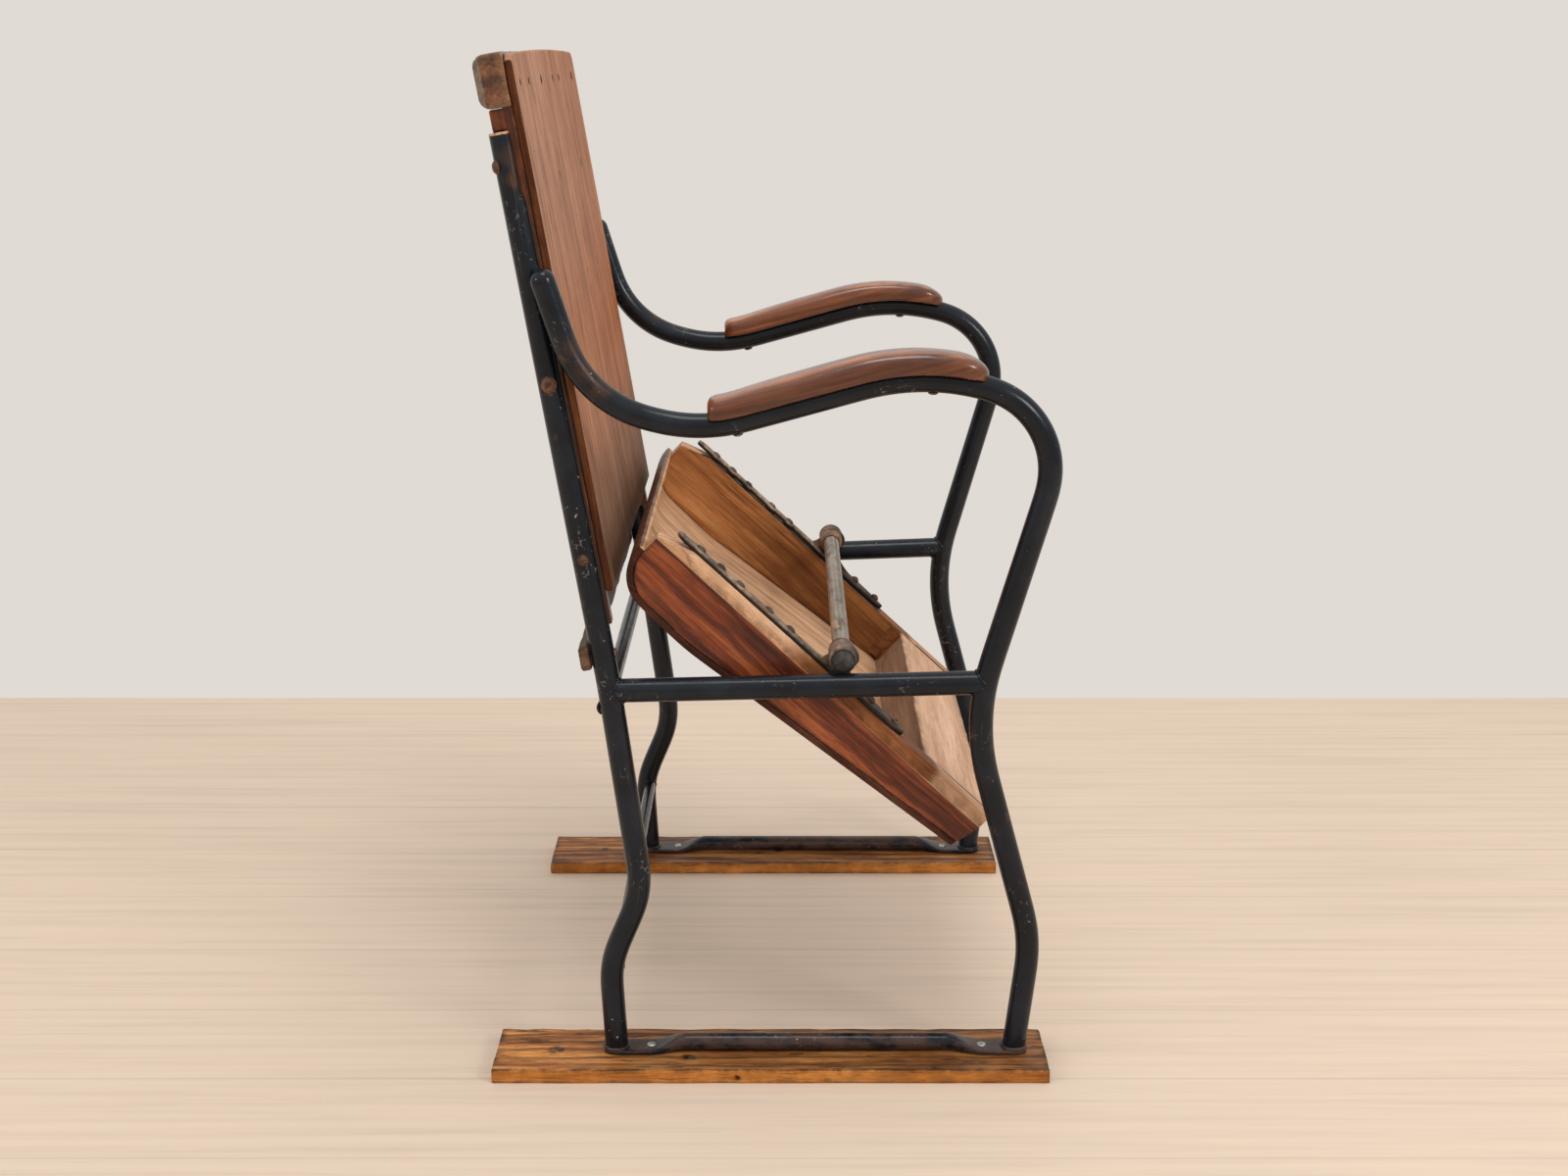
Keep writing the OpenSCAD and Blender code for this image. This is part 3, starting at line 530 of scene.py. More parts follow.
def board(name, low, high, radius, place=np.asarray, cell=14.0, wear=0.6, seed=0.0, shape=None):
    """A box with rounded edges that are worn unevenly, in its own frame, then put in place."""
    low, high = np.array(low, float), np.array(high, float)
    points, faces = box_of_squares([steps(low[k], high[k], cell) for k in range(3)])
    walls = np.sort(np.minimum(points - low, high - points), axis=1)
    edge = np.exp(-(walls[:, 1]/4.0)**2)
    uneven = np.clip(rough(points, 23, 1.8, seed) + rough(points, 7, 0.8, seed + 9), -0.6, 1.6)
    r = np.minimum(radius*(1 + wear*uneven)[:, None], (high - low).min()/2*0.98)
    inner = np.clip(points, low + r, high - r)
    out = points - inner
    out /= np.maximum(np.linalg.norm(out, axis=1, keepdims=True), 1e-9)
    points = inner + r*out - out*np.abs(rough(points, 40, 0.25, seed + 3))[:, None]
    if shape is not None:
        points = shape(points)
    return make_piece(name, place(points), faces, edge=edge)

print("a board's places across 84 mm:", [round(float(v), 1) for v in steps(0, 84, 14)])

# %% [markdown]
# ## Black pipe
# The posts, arms, legs and rungs are steam pipe, bent by hand and painted black. A Geometry Nodes
# tree sweeps a circle along each line, because every pipe follows the same rule. The tree also
# stores where each point lies on the unbent pipe, so that scuffs in the paint run along it.

# %% A tree that sweeps a round pipe along a line
def new_tree(name, *inputs):
    """A Geometry Nodes tree with its own inputs, and the sockets at its two ends."""
    tree = bpy.data.node_groups.new(name, "GeometryNodeTree")
    for label, kind in (("Geometry", "Geometry"), *inputs):
        tree.interface.new_socket(label, in_out="INPUT", socket_type="NodeSocket" + kind)
    tree.interface.new_socket("Geometry", in_out="OUTPUT", socket_type="NodeSocketGeometry")
    return tree, tree.nodes.new("NodeGroupInput").outputs, tree.nodes.new("NodeGroupOutput").inputs

def wire(tree, kind, values=(), **settings):
    """One more node in a tree, as its outputs."""
    return add_node(tree, kind, values, **settings).outputs

def captured(tree, geometry, name, kind, value):
    """Keeps a value as it is now, before the geometry changes."""
    node = tree.nodes.new("GeometryNodeCaptureAttribute")
    node.capture_items.new(kind, name)
    put(node.inputs["Geometry"], geometry)
    put(node.inputs[name], value)
    return node.outputs

def finished(tree, geometry, given, result):
    """Ends a tree: plain geometry with its material."""
    whole = wire(tree, "GeometryNodeRealizeInstances", {"Geometry": geometry})[0]
    whole = wire(tree, "GeometryNodeSetMaterial", {"Geometry": whole, "Material": given["Finish"]})[0]
    put(result[0], whole)
    return tree

def sweep_tree():
    inputs = ("Radius", "Float"), ("Sides", "Int"), ("Finish", "Material")
    tree, given, result = new_tree("pipe_along_a_line", *inputs)
    curve = wire(tree, "GeometryNodeMeshToCurve", {"Mesh": given["Geometry"]})[0]
    thick = wire(tree, "GeometryNodeInputNamedAttribute", {"Name": "thick"}, data_type="FLOAT")[0]
    length = wire(tree, "GeometryNodeSplineParameter")["Length"]
    line = captured(tree, curve, "along", "FLOAT", length)
    ring = wire(tree, "GeometryNodeCurvePrimitiveCircle",
                {"Resolution": given["Sides"], "Radius": given["Radius"]})[0]
    ring = captured(tree, ring, "around", "VECTOR", wire(tree, "GeometryNodeInputPosition")[0])
    swept = wire(tree, "GeometryNodeCurveToMesh", {"Curve": line["Geometry"], "Scale": thick,
                 "Profile Curve": ring["Geometry"], "Fill Caps": True})[0]
    around = wire(tree, "ShaderNodeSeparateXYZ", {0: ring["around"]})
    lay = wire(tree, "ShaderNodeCombineXYZ", {0: around["X"], 1: around["Y"], 2: line["along"]})[0]
    swept = wire(tree, "GeometryNodeStoreNamedAttribute", {"Geometry": swept, "Name": "lay", "Value": lay},
                 data_type="FLOAT_VECTOR", domain="POINT")[0]
    swept = wire(tree, "GeometryNodeSetShadeSmooth", {"Geometry": swept})[0]
    return finished(tree, swept, given, result)

SWEEP = sweep_tree()
print("tree", SWEEP.name, "with", len(SWEEP.nodes), "nodes")

# %% Pipes
def evaluated_mesh(obj):
    """The plain mesh that an object's modifiers give."""
    depsgraph = bpy.context.evaluated_depsgraph_get()
    return bpy.data.meshes.new_from_object(obj.evaluated_get(depsgraph), preserve_all_data_layers=True,
                                           depsgraph=depsgraph)

def grown(tree, base_mesh, name, values):
    """Runs a tree on a mesh and keeps the result as a plain mesh object."""
    base = new_object("base", base_mesh)
    step = base.modifiers.new("grow", "NODES")
    step.node_group = tree
    for item in tree.interface.items_tree:
        if item.in_out == "INPUT" and item.name in values:
            step[item.identifier] = values[item.name]
    mesh = evaluated_mesh(base)
    bpy.data.objects.remove(base)
    return new_object(name, mesh)

def pipe(name, points, radius, material, thick=None, sides=44):
    """A round pipe along points in millimetres. thick scales its radius at each of them."""
    line = bpy.data.meshes.new("line")
    line.from_pydata([tuple(p) for p in points*MM], [(i, i + 1) for i in range(len(points) - 1)], [])
    keep(line, "thick", np.ones(len(points)) if thick is None else thick)
    obj = grown(SWEEP, line, name, {"Radius": radius*MM, "Sides": sides, "Finish": material})
    with editing(obj.data) as work:
        bmesh.ops.recalc_face_normals(work, faces=work.faces)
    return obj

print("the pipe is", 2*PIPE_R, "mm across")

# %% [markdown]
# The paint is nearly black with a faint blue sheen. It has dulled, and it is scuffed along the
# pipe. Rust comes through in spots, and chips show pale primer. Each of these is its own noise,
# cut to a mask, and the masks also drive the roughness and a shallow bump.

# %% Black paint, worn
POST_WAY = (-math.sin(BACK_LEAN), 0.0, math.cos(BACK_LEAN))
RIM_DEPTH, RIM_EASE = 1.6, 0.6       # the bare rim at a post's top, in millimetres
rim_from = POST_WAY[0]*post_x(POST_TOP) + POST_WAY[2]*POST_TOP - RIM_DEPTH

def squiggles(vector, scale, wide=0.062):
    """Thin crooked lines: the borders between random cells, broken up into short pieces."""
    bent = vector.pushed(vector.noise(scale*1.6, 2.0, 0.5, "Color"), (0.6/scale,)*3)
    border = bent.then("ShaderNodeTexVoronoi", {"Vector": bent, "Scale": scale}, "Distance",
                       feature="DISTANCE_TO_EDGE")
    return border.fade(wide, wide*0.35)*vector.noise(scale*1.3, 2.0).fade(0.55, 0.60)

def black_paint(name, follow=True, worn_at=(), brown=0.0):
    """Paint whose scuffs follow the unbent pipe or not, rubbed brown at spots (x, y, z, reach)."""
    paint = Finish(name, Specular_IOR_Level=0.29)
    place = paint.place()
    lay = paint.attribute("lay", "Vector") if follow else place
    lines = lay.scaled((300, 300, 16)).noise(1.0, 5.0, 0.65)
    fine = place.noise(160.0, 4.0, 0.6)
    patches = place.noise(15.0, 3.0)
    cloudy = place.noise(13.0, 5.0, 0.6)
    colour = cloudy.ramp((0.30, (0.0024, 0.0037, 0.0066)), (0.5, (0.0053, 0.0080, 0.0130)),
                         (0.72, (0.014, 0.0190, 0.0265)))
    scuff = lines.fade(0.56, 0.74)*patches.fade(0.47, 0.64)
    colour = colour.mixed(scuff*0.6, (0.085, 0.083, 0.080))
    if brown:
        stain = paint.place(scale=(0.5, 1, 1)).noise(52.0, 5.0, 0.65).fade(0.40, 0.62)
        colour = colour.mixed(stain*brown, (0.092, 0.050, 0.036))
    rust = (place.noise(52.0, 6.0, 0.68) + place.noise(8.0, 2.0)*0.55).fade(0.955, 1.0)
    if worn_at:
        spots = place.near(worn_at)
        rust = rust.most(spots*(lines.fade(0.46, 0.62)*0.55))
        rubbed = (place.noise(60.0, 5.0, 0.65) + spots*0.30).fade(0.56, 0.80)
        colour = colour.mixed(rubbed*spots*0.75, (0.050, 0.024, 0.016))
    rust_colour = fine.ramp((0.3, (0.030, 0.014, 0.008)), (0.55, (0.085, 0.038, 0.020)),
                            (0.75, (0.19, 0.085, 0.042)))
    colour = colour.mixed(rust*0.8, rust_colour)
    chip = place.noise(230.0, 3.0, 0.5).fade(0.715, 0.74)*place.noise(28.0, 2.0).fade(0.46, 0.58)
    primer = place.noise(90.0, 1.0).ramp((0.45, (0.34, 0.31, 0.27)), (0.55, (0.40, 0.20, 0.10)))
    colour = colour.mixed(chip, primer)
    scratch = squiggles(place, 120.0)*patches.fade(0.53, 0.66)
    colour = colour.mixed(scratch*0.6, (0.20, 0.195, 0.19))
    # The bare metal rim at the cut top of a post, painted brighter still as a highlight.
    rim = place.dot(POST_WAY).fade(rim_from*MM, (rim_from + RIM_EASE)*MM)
    colour = colour.mixed(rim*fine.fade(0.36, 0.5), (0.62, 0.36, 0.20))
    dull = place.noise(34.0, 5.0, 0.65).ramp((0.3, (0.15,)*3), (0.7, (0.29,)*3))
    paint.give(Base_Color=colour, Roughness=(dull + rust*0.35 + scuff*0.15).clamped())
    height = place.noise(70.0, 6.0, 0.62)*0.7 + rust*0.35 - (chip + scratch)*0.5
    paint.bump(height, 0.0005, 0.3)
    return paint.material

ARM_WEAR = [(-0.164, -0.268, 0.670, 0.018), (-0.155, -0.268, 0.650, 0.020), (-0.143, -0.268, 0.634, 0.018),
            (0.238, -0.268, 0.650, 0.024), (0.190, -0.268, 0.672, 0.014), (-0.125, 0.268, 0.630, 0.020),
            (0.225, 0.266, 0.640, 0.020)]
POST_WEAR = [(-0.214, -0.255, 0.825, 0.016), (-0.212, -0.258, 0.806, 0.013), (-0.183, -0.260, 0.590, 0.005),
             (-0.165, -0.262, 0.500, 0.004), (-0.142, -0.249, 0.362, 0.008), (-0.141, -0.249, 0.030, 0.012)]
PAINT_BENT = black_paint("black_paint_on_bent_pipe", worn_at=ARM_WEAR + POST_WEAR)
PAINT = black_paint("black_paint", follow=False)
print("paints", PAINT_BENT.name, PAINT.name)

# %% [markdown]
# A back post is one bent pipe with an open top. The cut at the top, where the wooden stile passes,
# is pressed flat by moving the front of the pipe back. The open end gets a wall and a short bore.

# %% Back posts
BORE_DEPTH = 34.0
NOTCH_H, NOTCH_FRONT = 50.0, PIPE_R - 3.9       # how far down the top is flat, and where its flat lies

def open_end(obj, wall, depth, above):
    """Turns the closing face at the top into a rim with a bore going down into the pipe."""
    with editing(obj.data) as work:
        for face in [f for f in work.faces if len(f.verts) > 8 and f.calc_center_median().z > above*MM]:
            bmesh.ops.inset_region(work, faces=[face], thickness=wall*0.25*MM, depth=0.25*wall*MM)
            bmesh.ops.inset_region(work, faces=[face], thickness=wall*0.75*MM, depth=0)
            down = -face.normal*depth*MM
            deeper = bmesh.ops.extrude_discrete_faces(work, faces=[face])["faces"][0]
            bmesh.ops.translate(work, verts=deeper.verts, vec=down)

def press_flat(obj, height_from, front):
    """Moves the front of the pipe back to a flat, above a height up the post."""
    c, s = math.cos(BACK_LEAN), math.sin(BACK_LEAN)
    for v in obj.data.vertices:
        x, z = v.co.x/MM - KNEE[0], v.co.z/MM - KNEE[1]
        up = -x*s + z*c
        limit = front + max(0.0, height_from - up)*0.5
        if x*c + z*s > limit:
            v.co.x, _, v.co.z = on_post((limit, 0.0, up))*MM
    obj.data.update()

post_length = (POST_TOP - KNEE[1])/math.cos(BACK_LEAN)      # from the knee up
for side, sign in SIDES:
    post = pipe(side + "_post_pipe", sided(post_3d, sign), PIPE_R, PAINT_BENT)
    open_end(post, PIPE_WALL, BORE_DEPTH, above=POST_TOP - 6)
    press_flat(post, post_length - NOTCH_H, NOTCH_FRONT)
    settle(post, "frame", PAINT_BENT, "black_pipe", side + "_back_post")
    print(post.name, len(post.data.polygons), "faces")

# %% [markdown]
# The arm and the front leg are one pipe. Its rear end is closed and rounded, so the sweep's radius
# shrinks there as on half a ball.

# %% Arms and front legs
DOME = PIPE_R - 0.6      # how far the rounded end runs on
DOME_ANGLES = (15, 30, 42, 54, 64, 73, 81, 87, 90)

def with_dome(points):
    """Runs a line on by a half ball, with its points close together there."""
    way = points[-1] - points[-2]
    way = way/np.linalg.norm(way)
    return np.array(list(points) + [points[-1] + way*(DOME*math.sin(math.radians(a))) for a in DOME_ANGLES])

def dome_radii(points):
    """Relative radii along a line whose last end is a half ball."""
    run = run_along(points)
    left = np.clip((run[-1] - run)/DOME, 0, 1)
    return np.maximum(np.sqrt(1 - (1 - left)**2), 0.02)

for side, sign in SIDES:
    middle = with_dome(sided(arm_3d, sign))
    arm = pipe(side + "_arm_pipe", middle, PIPE_R, PAINT_BENT, thick=dome_radii(middle))
    settle(arm, "frame", PAINT_BENT, "black_pipe", side + "_arm_leg_tube")
    print(arm.name, len(arm.data.polygons), "faces")

# %% [markdown]
# The rungs and cross tubes are straight. Real ones are coped to the pipes that they meet, and here
# their ends are hidden inside those pipes. Each joint is brazed, so a low uneven bead follows the
# line where the two pipes cross. That line is found by going along the rung from the other pipe's
# axis, at each angle, to the place where it comes out of that pipe.

# %% Brazed joints
BRAZE_R, SMALL_BRAZE_R = 1.5, 1.2

def gap_to_line(p, line):
    """Shortest distance from a point to a line of points."""
    a, b = line[:-1], line[1:]
    ab = b - a
    t = np.clip(((p - a)*ab).sum(1)/(ab*ab).sum(1), 0, 1)
    return float(np.min(np.linalg.norm(a + t[:, None]*ab - p, axis=1)))

def joint_line(start, way, radius, other, count=36, reach=40.0, halvings=24):
    """Where a round bar, run from start along way, leaves the pipe round another line."""
    way = way/np.linalg.norm(way)
    side = np.cross(way, (0, 0, 1.0))
    side /= np.linalg.norm(side)
    up = np.cross(side, way)
    found = []
    for a in round_angles(count):
        p = start + radius*(math.cos(a)*side + math.sin(a)*up)
        near, away = 0.0, reach
        for _ in range(halvings):
            half = (near + away)/2
            outside = gap_to_line(p + half*way, other) > PIPE_R
            near, away = (near, half) if outside else (half, away)
        found.append(p + near*way)
    return np.array(found)

def bead(name, ring, size, seed=0.0):
    """A closed, slightly lumpy bead along a ring of points."""
    count, centre = len(ring), ring.mean(axis=0)
    rings = []
    for i in range(count):
        along = ring[(i + 1) % count] - ring[i - 1]
        along /= np.linalg.norm(along)
        out = ring[i] - centre
        out -= along*(out @ along)
        out /= np.linalg.norm(out)
        across = np.cross(along, out)
        r = size*(1 + 0.28*noise.noise(Vector(ring[i])/5.0 + Vector((seed, 0, 0))))
        rings.append([ring[i] + r*(math.cos(b)*out + math.sin(b)*across) for b in round_angles(10)])
    return make_piece(name, *skin(rings + [rings[0]], capped=False))

print("beads are", 2*BRAZE_R, "and", 2*SMALL_BRAZE_R, "mm thick")

# %% Rungs and cross tubes
RUNG_Z, RUNG_RISE = 360.7, 10.5
RUNG_BACK_LEAN = math.radians(7)
RUNG_FRONT_X = 190.0
rung_from = np.array([KNEE[0] + (KNEE[1] - RUNG_Z)*math.tan(RUNG_BACK_LEAN), HALF_W, RUNG_Z])
rung_out = (RUNG_Z + RUNG_RISE - FOOT_Z)*math.tan(ARM_LEAN)
rung_to = np.array([RUNG_FRONT_X, HALF_W + rung_out, RUNG_Z + RUNG_RISE])
rung_way = rung_to - rung_from

for side, sign in SIDES:
    middle = sided([rung_from + rung_way*f for f in np.linspace(0, 1, 41)], sign)
    rung = pipe(side + "_rung_pipe", middle, PIPE_R, PAINT_BENT)
    settle(rung, "frame", PAINT_BENT, "black_pipe", side + "_side_rung")
    ends = ("rear", rung_from, rung_way, post_3d), ("front", rung_to, -rung_way, arm_3d)
    for tag, start, way, line in ends:
        ring = joint_line(start, way, PIPE_R, line)
        braze = bead(f"{side}_{tag}_braze", sided(ring, sign), BRAZE_R, seed=sign*3)
        settle(braze, "frame", PAINT, "black_pipe")
print("rung length", round(float(np.linalg.norm(rung_way)), 1))

REAR_TUBE_R, LOW_TUBE_R = 7.0, 6.0
REAR_TUBE_Z, LOW_TUBE = 345.0, (-141.0, 95.0)
rear_low, rear_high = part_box("rear_cross_tube")
rear_tube_x = (rear_low.x + rear_high.x)/2/MM
for tag, x, z, r in (("rear", rear_tube_x, REAR_TUBE_Z, REAR_TUBE_R), ("lower", *LOW_TUBE, LOW_TUBE_R)):
    reach = HALF_W - 5
    line = np.array([(x, y, z) for y in np.linspace(-reach, reach, 50)])
    bar = pipe(tag + "_cross_bar", line, r, PAINT_BENT, sides=32)
    settle(bar, "frame", PAINT_BENT, "black_pipe", tag + "_cross_tube")
    for side, sign in SIDES:
        ring = joint_line(np.array([x, HALF_W, z]), np.array([0, -1.0, 0]), r, post_3d, 24)
        braze = bead(f"{side}_{tag}_cross_bar_braze", sided(ring, sign), SMALL_BRAZE_R, seed=sign)
        settle(braze, "frame", PAINT, "black_pipe")

# %% [markdown]
# ## Wood
# Every wooden piece gets the same kind of finish with its own colours. The grain is noise stretched
# along the piece, with growth rings cut through it, fine dark pores, slow clouds of old polish, and
# worn or dirty edges. A turn brings the piece's own grain direction onto X before the stretch. A
# piece with several looks is divided into regions, which are masks worked out from where a point
# lies or which way it faces.

# %% Regions of a piece
def along(axis, low, high):
    """Grows from low to high along an axis of the chair, in metres."""
    return lambda finish, place, turned: place.part(axis).fade(low, high)

def beyond(low, high):
    """Grows from low to high away from the chair's middle, to either side."""
    return lambda finish, place, turned: abs(place.part("Y")).fade(low, high)

def facing(axis, low, high):
    """Where the surface faces an axis, either way, from the normals kept on the piece."""
    def region(finish, place, turned):
        return abs(finish.attribute("facing", "Vector").part(axis)).fade(low, high)
    return region

def ahead_of_post(low, high):
    """By distance ahead of the posts' middle line."""
    ahead = (math.cos(BACK_LEAN), 0.0, math.sin(BACK_LEAN))
    start = (ahead[0]*KNEE[0] + ahead[2]*KNEE[1])*MM
    return lambda finish, place, turned: place.dot(ahead).fade(start + low, start + high)

def kept_value(name):
    """Where a value kept on the piece is 1."""
    return lambda finish, place, turned: finish.attribute(name)

print("regions:", [r.__name__ for r in (along, beyond, facing, ahead_of_post, kept_value)])

# %% Wood finish
def wood(name, dark, middle, light, turn=(0, 0, 0), rings=0.35, ring_size=7.0, ring_axis=(0.0, 0.02, 0.05),
         pores=0.5, flecks=0.0, cloud=0.5, dust=0.0, streak=1.0, gloss=0.42, shine=0.28, coat=0.0, bump=0.5,
         edge=(0.03, 0.015, 0.01), edge_share=0.6, tints=(), unstained=(), knots=(), spots=()):
    """A finish from three tones of grain. tints: (region, colour to multiply by). unstained:
    (region, three tones of bare wood). knots, spots: (x, y, z, reach)."""
    finish = Finish(name, Specular_IOR_Level=shine, Coat_Weight=coat, Coat_Roughness=0.16)
    place, turned = finish.place(), finish.place(turn=turn)
    bent = turned.pushed(turned.scaled((2.4, 11, 11)).noise(1.0, 3.0, 0.5, "Color"), (0.0, 0.020, 0.020))
    def stretched(lengthwise, across, detail=5.0, rough_=0.6):
        return bent.scaled((lengthwise, across, across)).noise(1.0, detail, rough_)
    fine = stretched(17.0*streak, 420.0*streak, 4.0, 0.65)
    grain = stretched(5.0*streak, 62.0*streak)*0.62 + fine*0.38
    ringed = bent.scaled((0.35, 1, 1), ring_axis)
    wave = ringed.then("ShaderNodeTexWave", {"Vector": ringed, "Scale": 157.0/ring_size, "Distortion": 3.5,
                       "Detail": 3.0, "Detail Scale": 0.9, "Detail Roughness": 0.6}, "Fac",
                       wave_type="RINGS", rings_direction="X")
    line = wave.fade(0.70, 0.96)
    pore = stretched(70.0, 1500.0, 2.0, 0.5).fade(0.60, 0.70)
    if flecks:
        pore = pore.most(stretched(26.0, 210.0, 3.0, 0.6).fade(0.60, 0.66)*flecks)
    polish = place.noise(9.0, 4.0, 0.6)
    worn = finish.attribute("edge")*place.noise(60.0, 5.0, 0.65).fade(0.36, 0.60)

    colour = grain.ramp((0.38, dark), (0.50, middle), (0.62, light))
    colour = colour.mixed(line*rings, shade(dark, 0.35))
    colour = colour.mixed(pore*pores, shade(dark, 0.30))
    colour = colour.mixed(polish.fade(0.50, 0.68)*cloud, shade(dark, 0.55))
    if dust:
        pale = tuple(min(1, 1.25*c + 0.07) for c in light)
        colour = colour.mixed(place.noise(6.5, 5.0, 0.65).fade(0.46, 0.70)*dust, pale)
    for region, tint in tints:
        colour = colour.mixed(region(finish, place, turned), tint, "MULTIPLY")
    colour = colour.mixed(worn*edge_share, edge)
    sheen = place.noise(40.0, 5.0, 0.6)*0.18 + (gloss - 0.09)
    for region, bare in unstained:
        mask = (region(finish, place, turned) + (fine - 0.5)*0.30).fade(0.30, 0.70)
        raw = grain.ramp((0.37, bare[0]), (0.50, bare[1]), (0.63, bare[2]))
        raw = raw.mixed(line*(rings*0.4), shade(bare[0], 0.6))
        raw = raw.mixed(pore*(pores*0.6), shade(bare[0], 0.4))
        raw = raw.mixed(polish.fade(0.48, 0.70)*(cloud*0.6), shade(bare[0], 0.6))
        raw = raw.mixed(worn*(edge_share*0.6), shade(bare[0], 0.3))
        colour = colour.mixed(mask, raw)
        sheen = (0.88 - sheen)*mask + sheen
    if knots:
        eye = place.near(knots)*place.noise(180.0, 4.0).fade(0.30, 0.55)
        colour = colour.mixed(eye, shade(dark, 0.18))
    if spots:
        colour = colour.mixed(place.near(spots)*0.92, (0.010, 0.006, 0.004))
    finish.give(Base_Color=colour, Roughness=(sheen + pore*0.18).clamped())
    finish.bump(grain*0.8 - pore*0.5 - line*(0.25*rings), 0.0005, bump)
    return finish.material

print("a recipe for wood, with its grain along X after the turn")

# %% Lines of the backrest, and the woods
UP_POST, ALONG_SEAT, ACROSS = (0, 99.4, 0), (0, 137, 0), (0, 0, 90)
PANEL_BACK, PANEL_FRONT, BACK_HALF = 13.5, 20.0, 253.0
PANEL_TOP, PANEL_FOOT = 911.0, 453.0       # heights of the panel's front face above the floor
BATTEN_H = 45.0

def up_panel(z):
    """How far up from the knee, along the panel's front face, a height above the floor lies."""
    return (z - KNEE[1] - PANEL_FRONT*math.sin(BACK_LEAN))/math.cos(BACK_LEAN)

panel_low, panel_high = up_panel(PANEL_FOOT), up_panel(PANEL_TOP)
screw_row = panel_high - 27
PANEL_SCREWS = [(-221, 0.72), (-161, 0.78), (-66, 1.0), (29, 0.72), (85, 0.76), (210, 1.0)]
NAIL_MARKS = [(-61, panel_high - 113, 0.8), (150, panel_high - 113, 1.0), (20, panel_high - 210, 0.6)]
MARK_REACH = 0.0062
# Dark spots round the panel's screws and nails: painted shade in their holes.
panel_marks = [(*(on_post((PANEL_FRONT, y, up))*MM), MARK_REACH*size)
               for y, up, size in [(y, screw_row, size) for y, size in PANEL_SCREWS] + NAIL_MARKS]

SKID_SIDE = ((0.34, 0.110, 0.018), (0.54, 0.195, 0.036), (0.68, 0.275, 0.062))
SKID_KNOTS = [(-0.199, -0.250, 0.013, 0.011), (-0.077, -0.265, 0.013, 0.008), (-0.110, 0.258, 0.013, 0.008),
              (0.006, 0.246, 0.013, 0.008), (0.15, -0.285, 0.010, 0.006), (-0.03, -0.29, 0.006, 0.005)]
SKID = wood("skid_wood", (0.080, 0.027, 0.007), (0.285, 0.104, 0.026), (0.50, 0.225, 0.070),
            rings=0.55, pores=0.85, flecks=0.9, cloud=0.45, streak=1.5, gloss=0.5,
            edge=(0.020, 0.009, 0.004), edge_share=0.95, knots=SKID_KNOTS,
            tints=((along("X", -0.10, -0.21), (1.55, 1.45, 1.1)),),
            unstained=((facing("Y", 0.5, 0.8), SKID_SIDE),))
PANEL_SIDE = ((0.035, 0.012, 0.006), (0.095, 0.030, 0.012), (0.21, 0.075, 0.028))
# The panel is made darker towards its foot: painted shade from the seat and the arms.
WALNUT = wood("back_walnut", (0.255, 0.122, 0.072), (0.420, 0.205, 0.122), (0.55, 0.295, 0.185),
              turn=UP_POST, rings=0.0, pores=0.42, flecks=0.75, cloud=0.20, dust=0.18, streak=1.05,
              gloss=0.56, shine=0.10, edge=(0.55, 0.38, 0.25), edge_share=0.3, spots=panel_marks,
              tints=((along("Z", 0.80, 0.66), (0.96, 0.80, 0.64)),
                     (along("Z", 0.62, 0.47), (0.45, 0.55, 0.60)),
                     (along("Y", -0.22, 0.24), (0.92, 0.80, 0.70))),
              unstained=((beyond(0.2505, 0.2515), PANEL_SIDE),))
BATTEN_BACK = ((0.11, 0.075, 0.052), (0.20, 0.145, 0.108), (0.30, 0.225, 0.175))
DARK = wood("batten_walnut", (0.026, 0.009, 0.005), (0.145, 0.050, 0.018), (0.29, 0.12, 0.050),
            turn=ACROSS, ring_size=9, pores=0.6, cloud=0.75, gloss=0.26, shine=0.4, coat=0.45,
            edge=(0.30, 0.17, 0.095), edge_share=0.35,
            unstained=((ahead_of_post(-0.0055, -0.0085), BATTEN_BACK),))
# The stiles are made darker below about 0.8 m: painted shade of the posts.
STILE = wood("stile_wood", (0.050, 0.012, 0.003), (0.245, 0.054, 0.009), (0.48, 0.14, 0.025),
             turn=UP_POST, rings=0.6, ring_size=6, cloud=0.6, gloss=0.36, coat=0.2,
             edge=(0.018, 0.008, 0.005), edge_share=0.8,
             tints=((along("Z", 0.84, 0.76), (0.42, 0.50, 0.70)),))
# Faces turned up or down are made lighter. On the tops this is partly wear and partly a painted highlight
# of the light from above. The far pad is made darker as a whole.
PAD = wood("pad_walnut", (0.050, 0.0135, 0.005), (0.170, 0.044, 0.0110), (0.40, 0.125, 0.034),
           turn=(0, 14, 0), rings=0.30, ring_size=9, ring_axis=(0, -0.235, -0.60), pores=0.15, cloud=0.60,
           dust=0.08, streak=0.42, gloss=0.22, shine=0.4, coat=0.5, bump=0.1,
           edge=(0.016, 0.007, 0.004), edge_share=0.5,
           tints=((facing("Z", 0.76, 0.97), (2.3, 2.9, 3.9)), (along("Y", 0.1, 0.2), (0.72, 0.72, 0.78))))
SLAT = wood("slat_wood", (0.05, 0.022, 0.011), (0.13, 0.06, 0.03), (0.24, 0.13, 0.07),
            turn=ACROSS, rings=0.4, ring_size=6, pores=0.6, gloss=0.5,
            edge=(0.03, 0.018, 0.012), edge_share=0.7)
print("woods", [m.name for m in (SKID, WALNUT, DARK, STILE, PAD, SLAT)])

# %% [markdown]
# The skid boards are plain planks with bruised, dark edges. Under each pair of feet lies a foot tie:
# a pipe whose ends were beaten flat and drilled, so its section changes from a circle to a flat
# plate over a few centimetres.

# %% Skid boards
SKID_LONG, SKID_WIDE, SKID_T = 508.0, 84.0, 13.0

